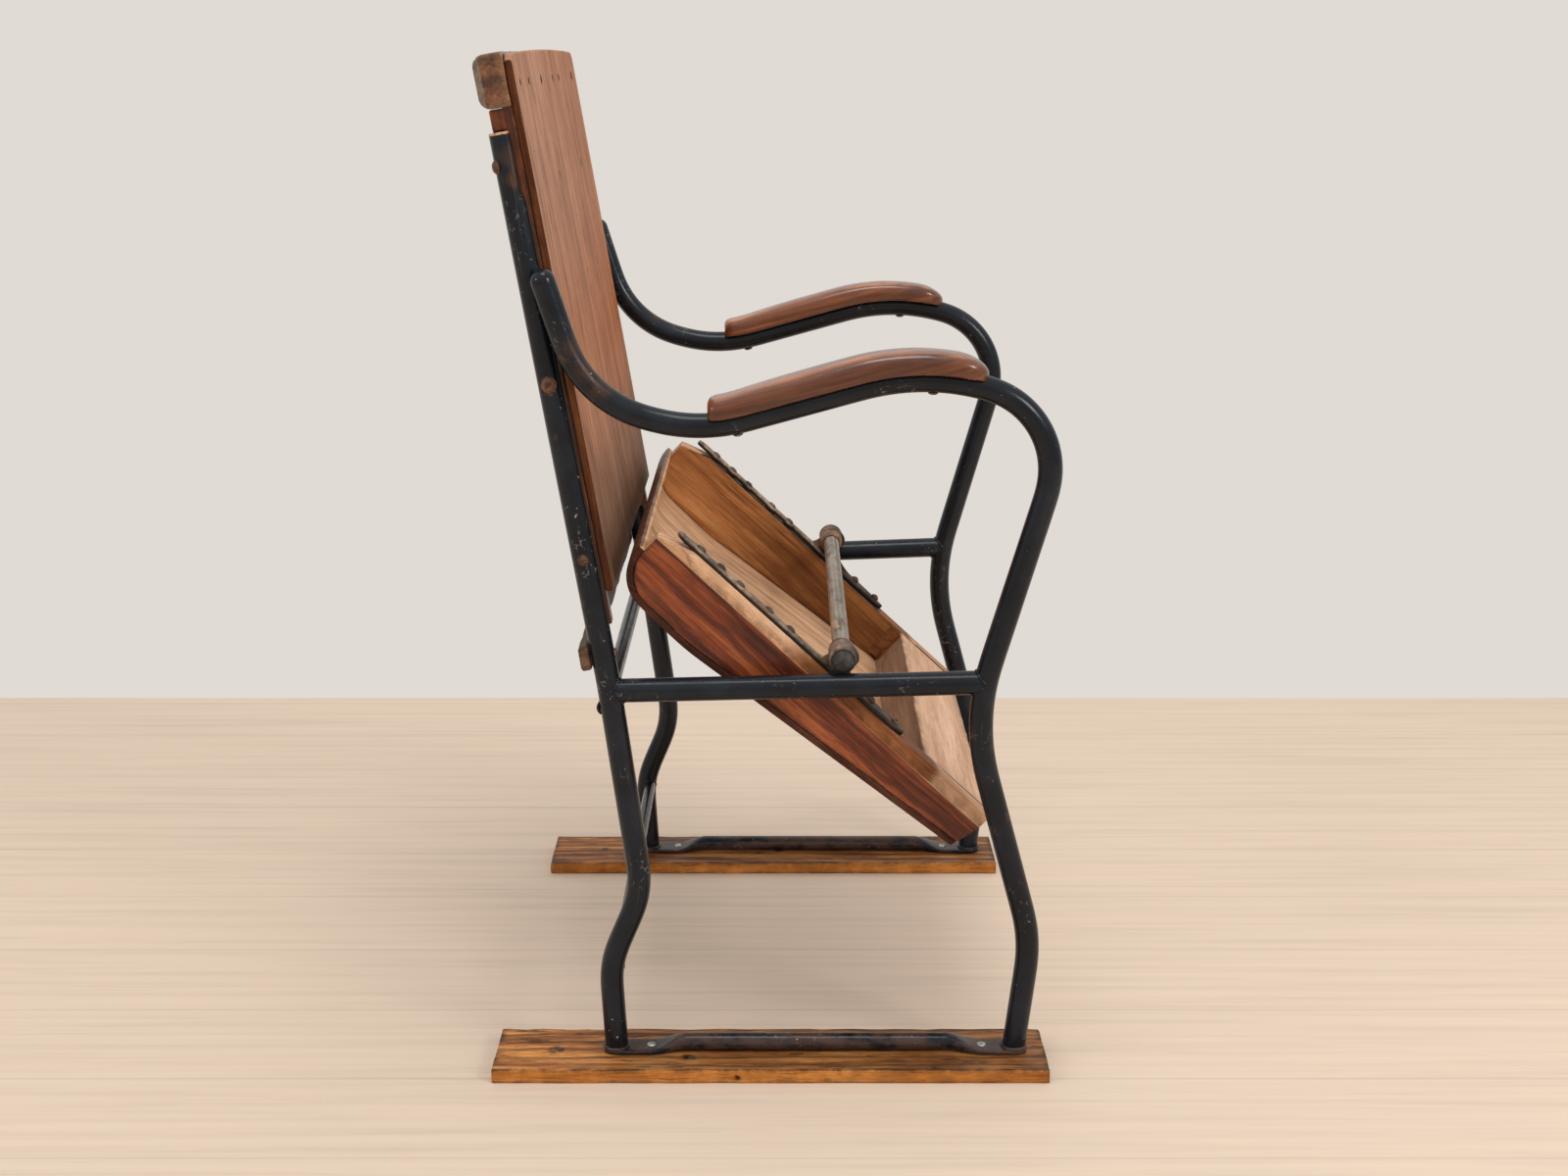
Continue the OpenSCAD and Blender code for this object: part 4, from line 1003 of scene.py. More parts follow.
for side, sign in SIDES:
    y, long, wide = sign*HALF_W, SKID_LONG/2, SKID_WIDE/2
    plank = board(side + "_skid_plank", (-long, y - wide, 0), (long, y + wide, SKID_T), 1.5,
                  wear=1.0, seed=y)
    settle(plank, "frame", SKID, "skid_wood", side + "_skid_board")
print("plank", size_mm(plank))

# %% Foot ties
TIE_FROM, TIE_TO = -154.0, 237.0
TIE_REAR_BEND, TIE_FRONT_BEND = (-112, -78), (162, 198)      # where round turns into flat
TIE_ROUND, TIE_FLAT = (8.0, 16.0), (13.0, 4.5)               # half width and height of each
TONGUE = 13.0                                                # how long the rounded ends are
WELD_R, WELD_RING = 1.6, PIPE_R + 0.25

def eased_step(x, low, high):
    """0 at low and 1 at high, eased between them."""
    t = min(1.0, max(0.0, (x - low)/(high - low)))
    return t*t*(3 - 2*t)

def quarter(f):
    """Rises from 0 to 1 as a quarter of a circle does, while f goes from 0 to 1."""
    return math.sqrt(max(0.0, 1 - (1 - min(1.0, f))**2))

def rounder(value, power):
    """A sine or cosine raised to a power below 1, so that a ring comes nearer to a rectangle."""
    return math.copysign(abs(value)**power, value)

def foot_tie(name, sign):
    """Rings along X, each between a circle and a flat plate that lies on the board."""
    bends = [np.arange(-120, -66, 2.0), np.arange(155, 205, 2.0)]
    places = np.concatenate([steps(TIE_FROM, TIE_TO, 6, close=(0, 0.6, 1.5, 3, 5, 8, 12)), *bends])
    rings = []
    for x in np.unique(places):
        flat = max(1 - eased_step(x, *TIE_REAR_BEND), eased_step(x, *TIE_FRONT_BEND))
        from_end = min(x - TIE_FROM, TIE_TO - x)
        half = (TIE_ROUND[0]*(1 - flat) + TIE_FLAT[0]*flat)*(0.25 + 0.75*quarter(from_end/TONGUE))
        half *= 1 + 0.02*noise.noise(Vector((x/17, sign, 0)))
        still_round = (1 - flat)**1.2
        height = TIE_ROUND[1]*still_round + TIE_FLAT[1]*(1 - still_round)
        height *= 0.55 + 0.45*min(1, from_end/2.0)
        power = 2/(2 + 5*flat**1.5)
        low = SKID_T + (0.15 if flat < 1 else 0)
        rings.append([(x, sign*HALF_W + half*rounder(math.cos(a), power),
                       low + height/2*(1 + rounder(math.sin(a), power))) for a in round_angles(32)])
    points, faces = skin(rings)
    lay = [((p[1] - sign*HALF_W)*MM, (p[2] - SKID_T - TIE_ROUND[1]/2)*MM, p[0]*MM) for p in points]
    return make_piece(name, points, faces, lay=lay)

TIE_WEAR = [(-0.12, -0.249, 0.02, 0.03), (0.20, -0.249, 0.02, 0.03), (0.03, -0.249, 0.029, 0.02),
            (0.10, -0.249, 0.029, 0.014), (-0.12, 0.249, 0.02, 0.03), (0.2, 0.249, 0.02, 0.03)]
TIE_PAINT = black_paint("black_paint_on_ties", brown=0.75, worn_at=TIE_WEAR)
for side, sign in SIDES:
    tie = foot_tie(side + "_flattened_tie", sign)
    settle(tie, "frame", TIE_PAINT, "black_pipe", side + "_foot_tie")
for side, sign in SIDES:
    for tag, (x, z) in (("post", post_line[0]), ("leg", arm_line[0])):
        middle = np.array([x, sign*(HALF_W + 0.3), FOOT_Z + 0.4])
        ring = [middle + WELD_RING*np.array([math.cos(a), math.sin(a), 0]) for a in round_angles(40)]
        weld = bead(f"{side}_{tag}_foot_weld", np.array(ring), WELD_R, seed=sign + x)
        settle(weld, "frame", TIE_PAINT, "black_pipe")
print("tie", size_mm(tie))

# %% [markdown]
# ## Backrest
# A thin moulded panel is screwed to a thick batten at the top and to a narrow stile at each side.
# The panel's top edge is crowned by a few millimetres and its upper corners are rounded. A stile is a
# strip in front of the post, partly sunk into it, that runs up into the batten. A thicker piece fills
# the space between the post's end and the batten, whose back corners are well rounded.

# %% Plates: an outline that is given a thickness
def rounded_outline(half, low, high, corner, crown, foot_corner=3.0):
    """A panel's outline, anticlockwise from the lower left, its top crowned."""
    corners = []
    for cy, cz, start, r in ((-half + foot_corner, low + foot_corner, 180, foot_corner),
                             (half - foot_corner, low + foot_corner, 270, foot_corner),
                             (half - corner, high - corner, 0, corner),
                             (-half + corner, high - corner, 90, corner)):
        for a in np.radians(np.linspace(start, start + 90, 9)):
            corners.append((cy + r*math.cos(a), cz + r*math.sin(a)))
    corners, line = np.array(corners + [corners[0]]), []
    for start, end in zip(corners[:-1], corners[1:]):
        count = max(1, int(np.linalg.norm(end - start)//12))
        line += [start + (end - start)*i/count for i in range(count)]
    line = np.array(line)
    near_top = np.clip((line[:, 1] - (high - corner*1.5))/(corner*1.5), 0, 1)
    line[:, 1] -= crown*(line[:, 0]/half)**2*near_top
    return line

def inset_loop(loop, by):
    """A closed outline moved inwards."""
    way = np.roll(loop, -1, axis=0) - np.roll(loop, 1, axis=0)
    length = np.maximum(np.linalg.norm(way, axis=1, keepdims=True), 1e-9)
    return loop + np.stack([-way[:, 1], way[:, 0]], axis=1)/length*by

def plate(name, outline, back, front, radius, place, seed=0.0, wear=0.4, rims=(1.2, 3.0, 5.0), between=()):
    """An outline drawn anticlockwise and given a thickness, with worn round edges and flat sides.
    rims are rings inside each rounded edge. between lists more places across the thickness, where
    the side walls may be bent or kept clean."""
    half, middle = (front - back)/2, (back + front)/2
    r = min(radius, half*0.95)
    side = [(0.0, half - r)]
    side += [(r*(1 - math.cos(a)), half - r + r*math.sin(a)) for a in np.linspace(0, math.pi/2, 5)[1:]]
    side += [(r + rim, half) for rim in rims]
    levels = [(by, middle - h) for by, h in reversed(side)]
    levels += [(0.0, at) for at in between] + [(by, middle + h) for by, h in side]
    deepest = r + rims[-1]
    rings, edge = [], []
    for by, at in levels:
        loop = inset_loop(outline, by)
        rings.append(np.stack([np.full(len(loop), at), loop[:, 0], loop[:, 1]], axis=1))
        from_edge = min(at - back, front - at) if at in between else by
        edge += [math.exp(-(from_edge/3.2)**2)*max(0.0, 1 - (by/deepest)**2)]*len(loop)
    points, faces = skin(rings)
    lumps = np.abs(rough(points, 26, 0.22*wear/0.4, seed))*np.array(edge)
    points[:, 1:] -= np.sign(points[:, 1:] - points.mean(axis=0)[1:])*lumps[:, None]
    return make_piece(name, place(points), faces, edge=edge)

outline = rounded_outline(BACK_HALF, panel_low, panel_high, 13, 3.0)
print("the panel's outline has", len(outline), "points")

# %% Panel, batten, stiles and slat
STILE_WIDE, STILE_T = 14.0, 8.4
STILE_BELOW, STILE_SHORT = 29.0, 1.0       # past the panel's foot, and short of its top
CHEEK_BACK, CHEEK_FRONT = -6.5, 7.0
BATTEN_T, BATTEN_ROUND, BATTEN_HALF = 26.0, 10.0, 255.0
SLAT_T, SLAT_H, SLAT_Z = 10.0, 22.0, 394.0
CLEAR = 0.1
batten_front, batten_back = PANEL_BACK - CLEAR, PANEL_BACK - CLEAR - BATTEN_T
batten_low, batten_high = panel_high - BATTEN_H, panel_high - 0.4

panel = plate("moulded_back_panel", outline, PANEL_BACK, PANEL_FRONT, 1.6, on_post, rims=(0.4, 1.3))
settle(panel, "frame", WALNUT, "walnut", "back_panel")

def round_back(points):
    """Rounds the batten's two rear edges to a large radius."""
    points, r = points.copy(), BATTEN_ROUND
    for p in points:
        for edge_z, sign in ((batten_low, 1), (batten_high, -1)):
            ahead, in_z = r - (p[0] - batten_back), r - (p[2] - edge_z)*sign
            if ahead > 0 and in_z > 0:
                k = max(ahead, in_z)/math.hypot(ahead, in_z)
                p[0], p[2] = batten_back + r - ahead*k, edge_z + sign*(r - in_z*k)
    return points

batten = board("top_rail_batten", (batten_back, -BATTEN_HALF, batten_low),
               (batten_front, BATTEN_HALF, batten_high), 1.6, place=on_post, cell=9, wear=0.8, seed=4,
               shape=round_back)
settle(batten, "frame", DARK, "dark_walnut", "top_batten")

for side, sign in SIDES:
    low_y, high_y = sorted((sign*(BACK_HALF - STILE_WIDE), sign*(BACK_HALF - 0.15)))
    strip = board(side + "_stile_strip", (batten_front - STILE_T, low_y, panel_low - STILE_BELOW),
                  (batten_front, high_y, panel_high - STILE_SHORT), 1.2, place=on_post, cell=10,
                  wear=0.8, seed=sign)
    settle(strip, "frame", STILE, "mahogany", side + "_back_stile")
    cheek = board(side + "_stile_cheek", (CHEEK_BACK, low_y + 0.2, post_length + 0.4),
                  (CHEEK_FRONT, high_y - 0.2, batten_low - 0.3), 1.8, place=on_post, cell=8,
                  wear=1.0, seed=sign + 5)
    settle(cheek, "frame", STILE, "mahogany")
print("panel", size_mm(panel), "batten", size_mm(batten))

slat_up, slat_front = (SLAT_Z - KNEE[1])/math.cos(BACK_LEAN), -PIPE_R - 0.3
slat = board("rear_wooden_slat", (slat_front - SLAT_T, -BATTEN_HALF, slat_up - SLAT_H/2),
             (slat_front, BATTEN_HALF, slat_up + SLAT_H/2), 3.2, place=on_post, cell=9, wear=0.5, seed=2)
settle(slat, "frame", SLAT, "walnut", "rear_slat")
print("slat", size_mm(slat))

# %% [markdown]
# ## Arm pads
# Each pad is a block of dark wood shaped by hand: it follows the arm, swells towards the front,
# ends square and rounded at the rear and in a soft nose at the front, and has a groove beneath that
# sits over the pipe. It is a skin over cross-sections whose width and height shrink at the ends.

# %% Arm pads
PAD_FROM, PAD_TO, PAD_HALF, PAD_THICK = -52.0, 182.0, 21.0, 17.0
GROOVE_R, PAD_LOW = PIPE_R + 0.2, PIPE_R - 4.5
NOSE_LONG, TAIL_LONG = (24, 27), (7, 9)       # over which the width and the height shrink

def arm_height(x):
    """Height of the arm's axis above the floor in its own plane, over the pad."""
    top = arm_line[(arm_line[:, 1] > 590) & (arm_line[:, 0] > -75) & (arm_line[:, 0] < 200)]
    order = np.argsort(top[:, 0])
    return float(np.interp(x, top[order, 0], top[order, 1]))

def pad_section(x):
    """Points (sideways, up) of the pad at x, from the groove round the outside."""
    f, nose, tail = (x - PAD_FROM)/(PAD_TO - PAD_FROM), PAD_TO - x, x - PAD_FROM
    wide = PAD_HALF*(0.93 + 0.07*math.sin(math.pi*min(1, f*1.1)))
    wide *= min(0.16 + 0.84*quarter(nose/NOSE_LONG[0]), 0.55 + 0.45*quarter(tail/TAIL_LONG[0]))
    top = PAD_THICK*(0.80 + 0.20*math.sin(math.pi*f**0.9)) + PIPE_R - PAD_LOW
    top *= min(0.30 + 0.70*quarter(nose/NOSE_LONG[1]), 0.72 + 0.28*quarter(tail/TAIL_LONG[1]))
    middle = PAD_LOW + 0.40*top
    reach = min(wide*0.8, math.sqrt(GROOVE_R**2 - PAD_LOW**2))
    section = [(-reach, PAD_LOW)]
    for y in np.linspace(-reach, reach, 11)[1:-1]:
        section.append((y, max(PAD_LOW, math.sqrt(max(0.0, GROOVE_R**2 - y*y)))))
    section.append((reach, PAD_LOW))
    for a in np.radians(np.linspace(-84, 264, 59)):
        c, s = math.cos(a), math.sin(a)
        if s < 0:
            y, z = wide*rounder(c, 2/7), middle - (middle - PAD_LOW)*abs(s)**(2/7)
            y = math.copysign(max(abs(y), reach*1.02), y)
        else:
            y, z = wide*rounder(c, 2/2.9), middle + (PAD_LOW + top - middle)*abs(s)**(2/2.9)
        section.append((y, z))
    return section

def pad(name, sign):
    """Sections set square to the arm, except near the rear, where they stand more upright."""
    at_rear, at_front = (0.05, 0.5, 1, 1.8, 2.8), (0.05, 0.5, 1.2, 2.2, 3.5, 5, 7)
    places = np.concatenate([np.linspace(PAD_FROM + 0.2, PAD_TO - 0.2, 60),
                             [PAD_FROM + d for d in at_rear], [PAD_TO - d for d in at_front]])
    rings = []
    for x in np.unique(places):
        slope = math.atan2(arm_height(x + 3) - arm_height(x - 3), 6.0)
        lean = math.sin(slope)*(1 - 0.35*(1 - min(1, (x - PAD_FROM)/40)))
        rings.append([(x - lean*up, y, arm_height(x) + math.cos(slope)*up) for y, up in pad_section(x)])
    points, faces = skin(rings)
    points += rough(points, 30, 0.35, sign)[:, None]*np.array([0, 1.0, 0.6])
    height = np.array([p[2] - arm_height(p[0]) for p in points])
    edge = np.exp(-((height - PAD_LOW)/2.2)**2)*(np.abs(points[:, 1]) > 12)
    return make_piece(name, sided(on_arm(points), sign), faces, edge=edge)

for side, sign in SIDES:
    rest = sharpen(pad(side + "_arm_rest", sign), 60)
    settle(rest, "frame", PAD, "dark_walnut", side + "_arm_pad")
print("arm rest", size_mm(rest), len(rest.data.polygons), "faces")

# %% [markdown]
# ## Seat
# The seat is a shallow box. One moulded sheet forms its top and rolls down over the front. A thick
# rail runs under each side and a block under the back. The pieces are drawn level, as in use, and
# then turned to the tipped-up place. Their rear ends are rounded to the circle that they sweep.

# %% The seat's lines
SEAT_HALF, RAIL_WIDE = 232.95, 28.0
SEAT_UNDER, UNDER_BREAK, PLY = 20.5, 160.0, 6.0
SEAT_LINE = [(-198.0, 63.0), (108.0, 91.0), (203.5, 87.5), (199.5, 47.0)]
SEAT_BENDS = [250, 38]
SWEEP_R = 205.1
REAR_X, REAR_BOW, BOW_LONG = -200.0, 3.0, 60.0       # the rear edge bows back at its middle
rail_in = SEAT_HALF - RAIL_WIDE
seat_top = rounded(SEAT_LINE, SEAT_BENDS, step=5.0)

def inwards(line):
    """For every point of the seat's line, the way towards the underside."""
    way = np.gradient(line, axis=0)
    way /= np.linalg.norm(way, axis=1, keepdims=True)
    return np.stack([way[:, 1], -way[:, 0]], axis=1)

def seat_place(points):
    """From the level seat to the tipped one, with the rear end inside the circle that it sweeps."""
    points = np.array(points, float)
    reach = np.hypot(points[:, 0], points[:, 2])
    over = (reach > SWEEP_R) & (points[:, 0] < 0)
    points[over, ::2] *= (SWEEP_R/reach[over])[:, None]
    return on_seat(points)

def rear_bow(y, from_rear):
    """How far the rear edge bows back, fading out further ahead."""
    return REAR_BOW*(1 - (y/SEAT_HALF)**2)*max(0.0, 1 - from_rear/BOW_LONG)

def level(obj):
    """A tipped piece's points, turned back level: ahead, sideways, up from the pivot, in mm."""
    points = np.array([v.co for v in obj.data.vertices])/MM
    return tilted(points - np.array([PIVOT.x, 0.0, PIVOT.z]), (0, 0), -TIP)

def up_from_pivot(turned):
    """In a finish turned by the tip: height above the pivot in the level seat, in metres."""
    return turned.part("Z") - (math.cos(TIP)*PIVOT.z - math.sin(TIP)*PIVOT.x)*MM

def ahead_of_pivot(turned):
    return turned.part("X") - (math.cos(TIP)*PIVOT.x + math.sin(TIP)*PIVOT.z)*MM

print("seat line of", len(seat_top), "points, tipped by", round(math.degrees(TIP)), "degrees")

# %% [markdown]
# A rail is polished only on its outer face. The other faces are bare wood that has aged unevenly:
# pale at the ends, orange behind the pivot and golden inside the box. The inside is made lighter
# towards the front. Beside the strap and in the seam by the rear block the wood is black with dirt
# and painted shade. Each of these is a region, and the later ones in a finish's list lie over the
# earlier ones.

# %% Finishes of the seat
PEACH = ((0.43, 0.205, 0.098), (0.67, 0.37, 0.200), (0.80, 0.50, 0.305))
GOLD = ((0.088, 0.026, 0.0055), (0.180, 0.060, 0.0130), (0.28, 0.110, 0.030))
GOLD_FRONT = ((0.24, 0.085, 0.022), (0.50, 0.20, 0.062), (0.68, 0.33, 0.12))
ORANGE = ((0.115, 0.033, 0.008), (0.245, 0.075, 0.018), (0.38, 0.140, 0.045))
# Near black for dirt and painted shade on the rails, beside the straps and the rear block.
GRIME_AND_SHADE = ((0.012, 0.007, 0.004), (0.022, 0.012, 0.007), (0.05, 0.03, 0.02))
# The sheet's bare underside: unpolished wood, lightened past the wood's own colour as painted light inside
# the box.
TAN = ((0.34, 0.185, 0.098), (0.57, 0.330, 0.185), (0.72, 0.46, 0.285))
RIM = ((0.022, 0.008, 0.005), (0.070, 0.022, 0.011), (0.15, 0.050, 0.025))
# Painted shade for the rear block's forward face.
SHADED = ((0.18, 0.100, 0.057), (0.26, 0.150, 0.092), (0.34, 0.210, 0.140))

def rail_under(finish, place, turned):
    """Everything on a rail but its outer face above the bevel."""
    outer = abs(place.part("Y")).fade(0.2312, 0.2322)
    return 1.0 - outer*up_from_pivot(turned).fade(0.0315, 0.0345)

def rail_middle(finish, place, turned):
    """Where the bare rail is stained with age, behind the pivot but not at the very rear."""
    ahead = ahead_of_pivot(turned)
    behind = ahead.fade(0.100, -0.010)*ahead.fade(-0.160, -0.125)
    return behind*rail_under(finish, place, turned)*0.82

rail_inside = beyond(0.2062, 0.2054)

def rail_inside_front(finish, place, turned):
    return rail_inside(finish, place, turned)*ahead_of_pivot(turned).fade(-0.25, 0.41)

def rail_grime_and_shade(finish, place, turned):
    """Dark dirt and painted shade between the strap and the inner edge, and in the seam beside the rear
    block.
    """
    out, ahead = abs(place.part("Y")), ahead_of_pivot(turned)
    beside_strap = out.fade(0.2160, 0.2135)*ahead.fade(-0.10, -0.085)
    seam = out.fade(0.2105, 0.2085)*ahead.fade(-0.145, -0.150)
    return out.fade(0.2052, 0.2056)*beside_strap.most(seam)*up_from_pivot(turned).fade(0.026, 0.022)

MAHOGANY = wood("rail_mahogany", (0.060, 0.0100, 0.004), (0.205, 0.040, 0.0115), (0.40, 0.105, 0.032),
                turn=ALONG_SEAT, rings=0.50, ring_size=4.2, ring_axis=(0.0, 0.10, 0.20), pores=0.65,
                flecks=0.5, cloud=0.35, streak=0.8, gloss=0.36, coat=0.15,
                edge=(0.018, 0.006, 0.004), edge_share=0.85,
                unstained=((rail_under, PEACH), (rail_middle, ORANGE), (rail_inside, GOLD),
                           (rail_inside_front, GOLD_FRONT), (rail_grime_and_shade, GRIME_AND_SHADE)))
SEAT_WALNUT = wood("seat_walnut", (0.038, 0.012, 0.006), (0.115, 0.042, 0.020), (0.225, 0.095, 0.048),
                   turn=ALONG_SEAT, rings=0.20, ring_size=10, flecks=0.5, dust=0.08, gloss=0.46,
                   shine=0.16, coat=0.1, edge=(0.42, 0.26, 0.16), edge_share=0.3,
                   unstained=((kept_value("bare"), TAN), (beyond(0.2309, 0.2315), RIM),
                              (kept_value("ply"), PEACH)))
BLOCK = wood("seat_block_wood", (0.48, 0.275, 0.165), (0.62, 0.375, 0.235), (0.74, 0.48, 0.33),
             turn=ACROSS, rings=0.12, ring_size=11, ring_axis=(0, 0.3, 0.3), pores=0.35, flecks=0.6,
             cloud=0.15, gloss=0.6, shine=0.15, edge=(0.05, 0.03, 0.02), edge_share=0.5,
             unstained=((kept_value("shade"), SHADED),))
FILLET = wood("fillet_wood", *GOLD, turn=ALONG_SEAT, rings=0.3, ring_size=5, cloud=0.3)
print("seat finishes", MAHOGANY.name, SEAT_WALNUT.name, BLOCK.name, FILLET.name)

# %% [markdown]
# The sheet is a skin over thin cross-sections that follow the seat's line from the rear edge to the
# rolled front. Two values are kept on it: bare, for the underside that was never polished and whose
# colour is also lightened as painted light, and ply, for the pale layers that show along the front's
# lower edge.

# %% Moulded seat sheet
SHEET_R, SHEET_END_R = 1.4, 1.2      # the rounding of its side edges, and of its two ends

def sheet_section():
    """Points (sideways, depth below the top) round a cross-section."""
    across = steps(-SEAT_HALF + SHEET_R, SEAT_HALF - SHEET_R, 26, close=(0, 1.5, 4, 9))
    turns, r = np.linspace(0, math.pi/2, 5), SHEET_R
    top_corner = [(SEAT_HALF - r + r*math.sin(a), r - r*math.cos(a)) for a in turns]
    low_corner = [(SEAT_HALF - r + r*math.cos(a), PLY - r + r*math.sin(a)) for a in turns]
    right = top_corner[1:] + [(SEAT_HALF - 0.2, PLY/2)] + low_corner
    left = [(-y, depth) for y, depth in reversed(right)]
    return [(y, 0.0) for y in across] + right + [(y, PLY) for y in across[::-1][1:-1]] + left

def seat_sheet(name):
    section, down, run = sheet_section(), inwards(seat_top), run_along(seat_top)
    at_rear, at_front = [0.0, 0.7, 1.8], [run[-1] - d for d in (1.8, 0.7, 0.0)]
    rings, bare, edge, ply = [], [], [], []
    for s in np.unique(np.concatenate([at_rear, run[1:-1], at_front])):
        p = points_at(seat_top, s)
        d = np.array([np.interp(s, run, down[:, k]) for k in (0, 1)])
        d /= np.linalg.norm(d)
        end = min(s, run[-1] - s)
        thin = SHEET_END_R*(1 - quarter(end/SHEET_END_R))
        ring = []
        for y, depth in section:
            x, z = p + d*(PLY/2 + (depth - PLY/2)*(1 - 2*thin/PLY))
            ring.append((x - rear_bow(y, s), y*(1 - thin/SEAT_HALF), z))
            bare.append(1.0 if depth > PLY - 0.8 and abs(y) < SEAT_HALF - 1 else 0.0)
            edge.append(max(math.exp(-((SEAT_HALF - abs(y))/2.5)**2), math.exp(-(end/3.0)**2)))
            ply.append(1.0 if run[-1] - s < 1.0 and depth > 0.8 else 0.0)
        rings.append(ring)
    points, faces = skin(rings)
    return make_piece(name, seat_place(points), faces, edge=edge, bare=bare, ply=ply)

sheet = sharpen(seat_sheet("moulded_seat_sheet"), 50)
settle(sheet, "seat", SEAT_WALNUT, "walnut", "seat_panel")
print("seat sheet", size_mm(sheet), len(sheet.data.polygons), "faces")

# %% [markdown]
# A rail is one outline, cut to the sheet's inner line on top, and given a thickness. Its lower outer
# edge is planed off at a slant, which fades out where the underside starts to rise to the front.

# %% Side rails
RAIL_REAR, RAIL_NOSE = -204.5, (193.3, 31.5)
BEVEL_WIDE, BEVEL_H = 5.0, 12.0
BEVEL_END = (150, 178)

def rail_outline():
    inner = seat_top + inwards(seat_top)*(PLY + 0.15)
    inner = inner[inner[:, 1] > 46]
    rear_low = (RAIL_REAR, SEAT_UNDER)
    loop = np.array([rear_low, (UNDER_BREAK, SEAT_UNDER), RAIL_NOSE, *inner[::-1],
                     (RAIL_REAR, inner[0, 1] - 0.6), rear_low])
    return points_at(loop, np.arange(0, run_along(loop)[-1] - 2, 5.0))

def rail_place(sign):
    """From the plate's frame to the chair's, with the bevel and the bowed rear end."""
    def place(points):
        points = np.stack([points[:, 1], points[:, 0]*sign, points[:, 2]], axis=1)
        for p in points:
            out = abs(p[1]) - (SEAT_HALF - BEVEL_WIDE)
            if out > 0:
                lift = BEVEL_H*out/BEVEL_WIDE*(1 - eased_step(p[0], *BEVEL_END))
                p[2] = max(p[2], SEAT_UNDER + lift + (p[2] - SEAT_UNDER)*0.05)
            p[0] -= rear_bow(p[1], p[0] - REAR_X)
        return seat_place(points)
    return place

bevel_from = SEAT_HALF - BEVEL_WIDE
rings_across = (209.5, 216.0, 222.0, bevel_from - 0.1, bevel_from + 0.1, SEAT_HALF - 3.0)
for side, sign in SIDES:
    rail = plate(side + "_seat_side_rail", rail_outline(), rail_in, SEAT_HALF, 1.3, rail_place(sign),
                 seed=sign, wear=0.5, rims=(0.9, 2.2), between=rings_across)
    settle(sharpen(rail, 40), "seat", MAHOGANY, "mahogany", side + "_seat_rail")
print("rail", size_mm(rail), len(rail.data.polygons), "faces")

# %% Rear block and the quarter-rounds in its corners
BLOCK_REAR, BLOCK_FRONT, BLOCK_LOW, BLOCK_TOP = -201.0, -125.5, 20.8, 62.0
FILLET_R, FILLET_LOW, FILLET_TOP = 13.0, 22.5, 60.0
CUT_FROM = 35.0      # above this height the block is cut to the sheet's slope

def block_top(points):
    points = points.copy()
    for p in points:
        sheet_under = 56.7 + 0.0915*(p[0] + 198)
        if p[2] > CUT_FROM:
            p[2] = CUT_FROM + (p[2] - CUT_FROM)*(sheet_under - CUT_FROM)/(BLOCK_TOP - CUT_FROM)
        p[0] -= rear_bow(p[1], p[0] - REAR_X)
    return points

half = rail_in - 0.1
block = board("seat_back_block", (BLOCK_REAR, -half, BLOCK_LOW), (BLOCK_FRONT, half, BLOCK_TOP), 1.2,
              place=seat_place, cell=10, seed=8, shape=block_top)
# Points on the block's forward face are kept as shade, and its finish paints them darker as painted shade.
here = level(block)
keep(block.data, "shade", (here[:, 0] > BLOCK_FRONT - 0.7) & (here[:, 2] > BLOCK_LOW + 1.2))
settle(block, "seat", BLOCK, "raw_wood", "seat_rear_block")

def corner_fillet(name, sign):
    """A small quarter-round glued into the corner between the rail and the block."""
    x, y, r = BLOCK_FRONT + 0.1, rail_in - 0.1, FILLET_R
    rings = []
    for z in np.linspace(FILLET_LOW, FILLET_TOP, 9):
        curve = [(x + r - r*math.sin(a), y - r + r*math.cos(a)) for a in np.linspace(0, math.pi/2, 9)]
        rings.append([(u, sign*v, z) for u, v in curve + [(x, y)]])
    points, faces = skin(rings)
    return make_piece(name, seat_place(points), faces, edge=np.zeros(len(points)))

for side, sign in SIDES:
    fillet = sharpen(corner_fillet(side + "_corner_fillet", sign), 50)
    settle(fillet, "seat", FILLET, "mahogany")
print("block", size_mm(block))

# %% [markdown]
# ## Hinge irons
# On each side a cast hinge is screwed under the rail: a long strap with a boss round every screw, a
# leaf with a slot behind, and a hub that turns on the cross tube. The hubs, collars and caps are
# round, so their outlines are turned about the tube's axis, as on a lathe. The strap is an outline
# that is given a thickness, and its two slots are cut out of it.

# %% Sizes of the hinge, and ways of making its parts
STRAP_Y = SEAT_HALF - 13
STRAP_LOW, STRAP_T = 15.5, 4.9
STRAP_FRONT, STRAP_REAR = 181.0, 93.0
STRAP_SCREWS = [f*STRAP_FRONT for f in (0.862, 0.729, 0.602, 0.409, 0.265)]
LEAF_SCREWS = [-f*STRAP_REAR for f in (0.538, 0.86)]
TUBE_R, CAP_R, HUB_R, COLLAR_R = 8.0, 9.75, 12.5, 12.0
CAP_IN, CAP_OUT, CAP_WALL = 246.2, 256.2, 4.0
HUB_IN, HUB_OUT, TOOTH_IN, COLLAR_IN = 226.1, 245.9, 220.1, 206.1
STOP_FROM, STOP_TO = 100.6, 162.4        # the collar's tooth, in degrees
HUB_TOOTH_FROM, HUB_TOOTH_SPAN = -60.0, 160.0

def about_tube(points):
    """From (ahead, sideways, up) about the tube's axis to the chair's frame, without the tip."""
    return np.asarray(points, float) + np.array([PIVOT.x, 0.0, PIVOT.z])

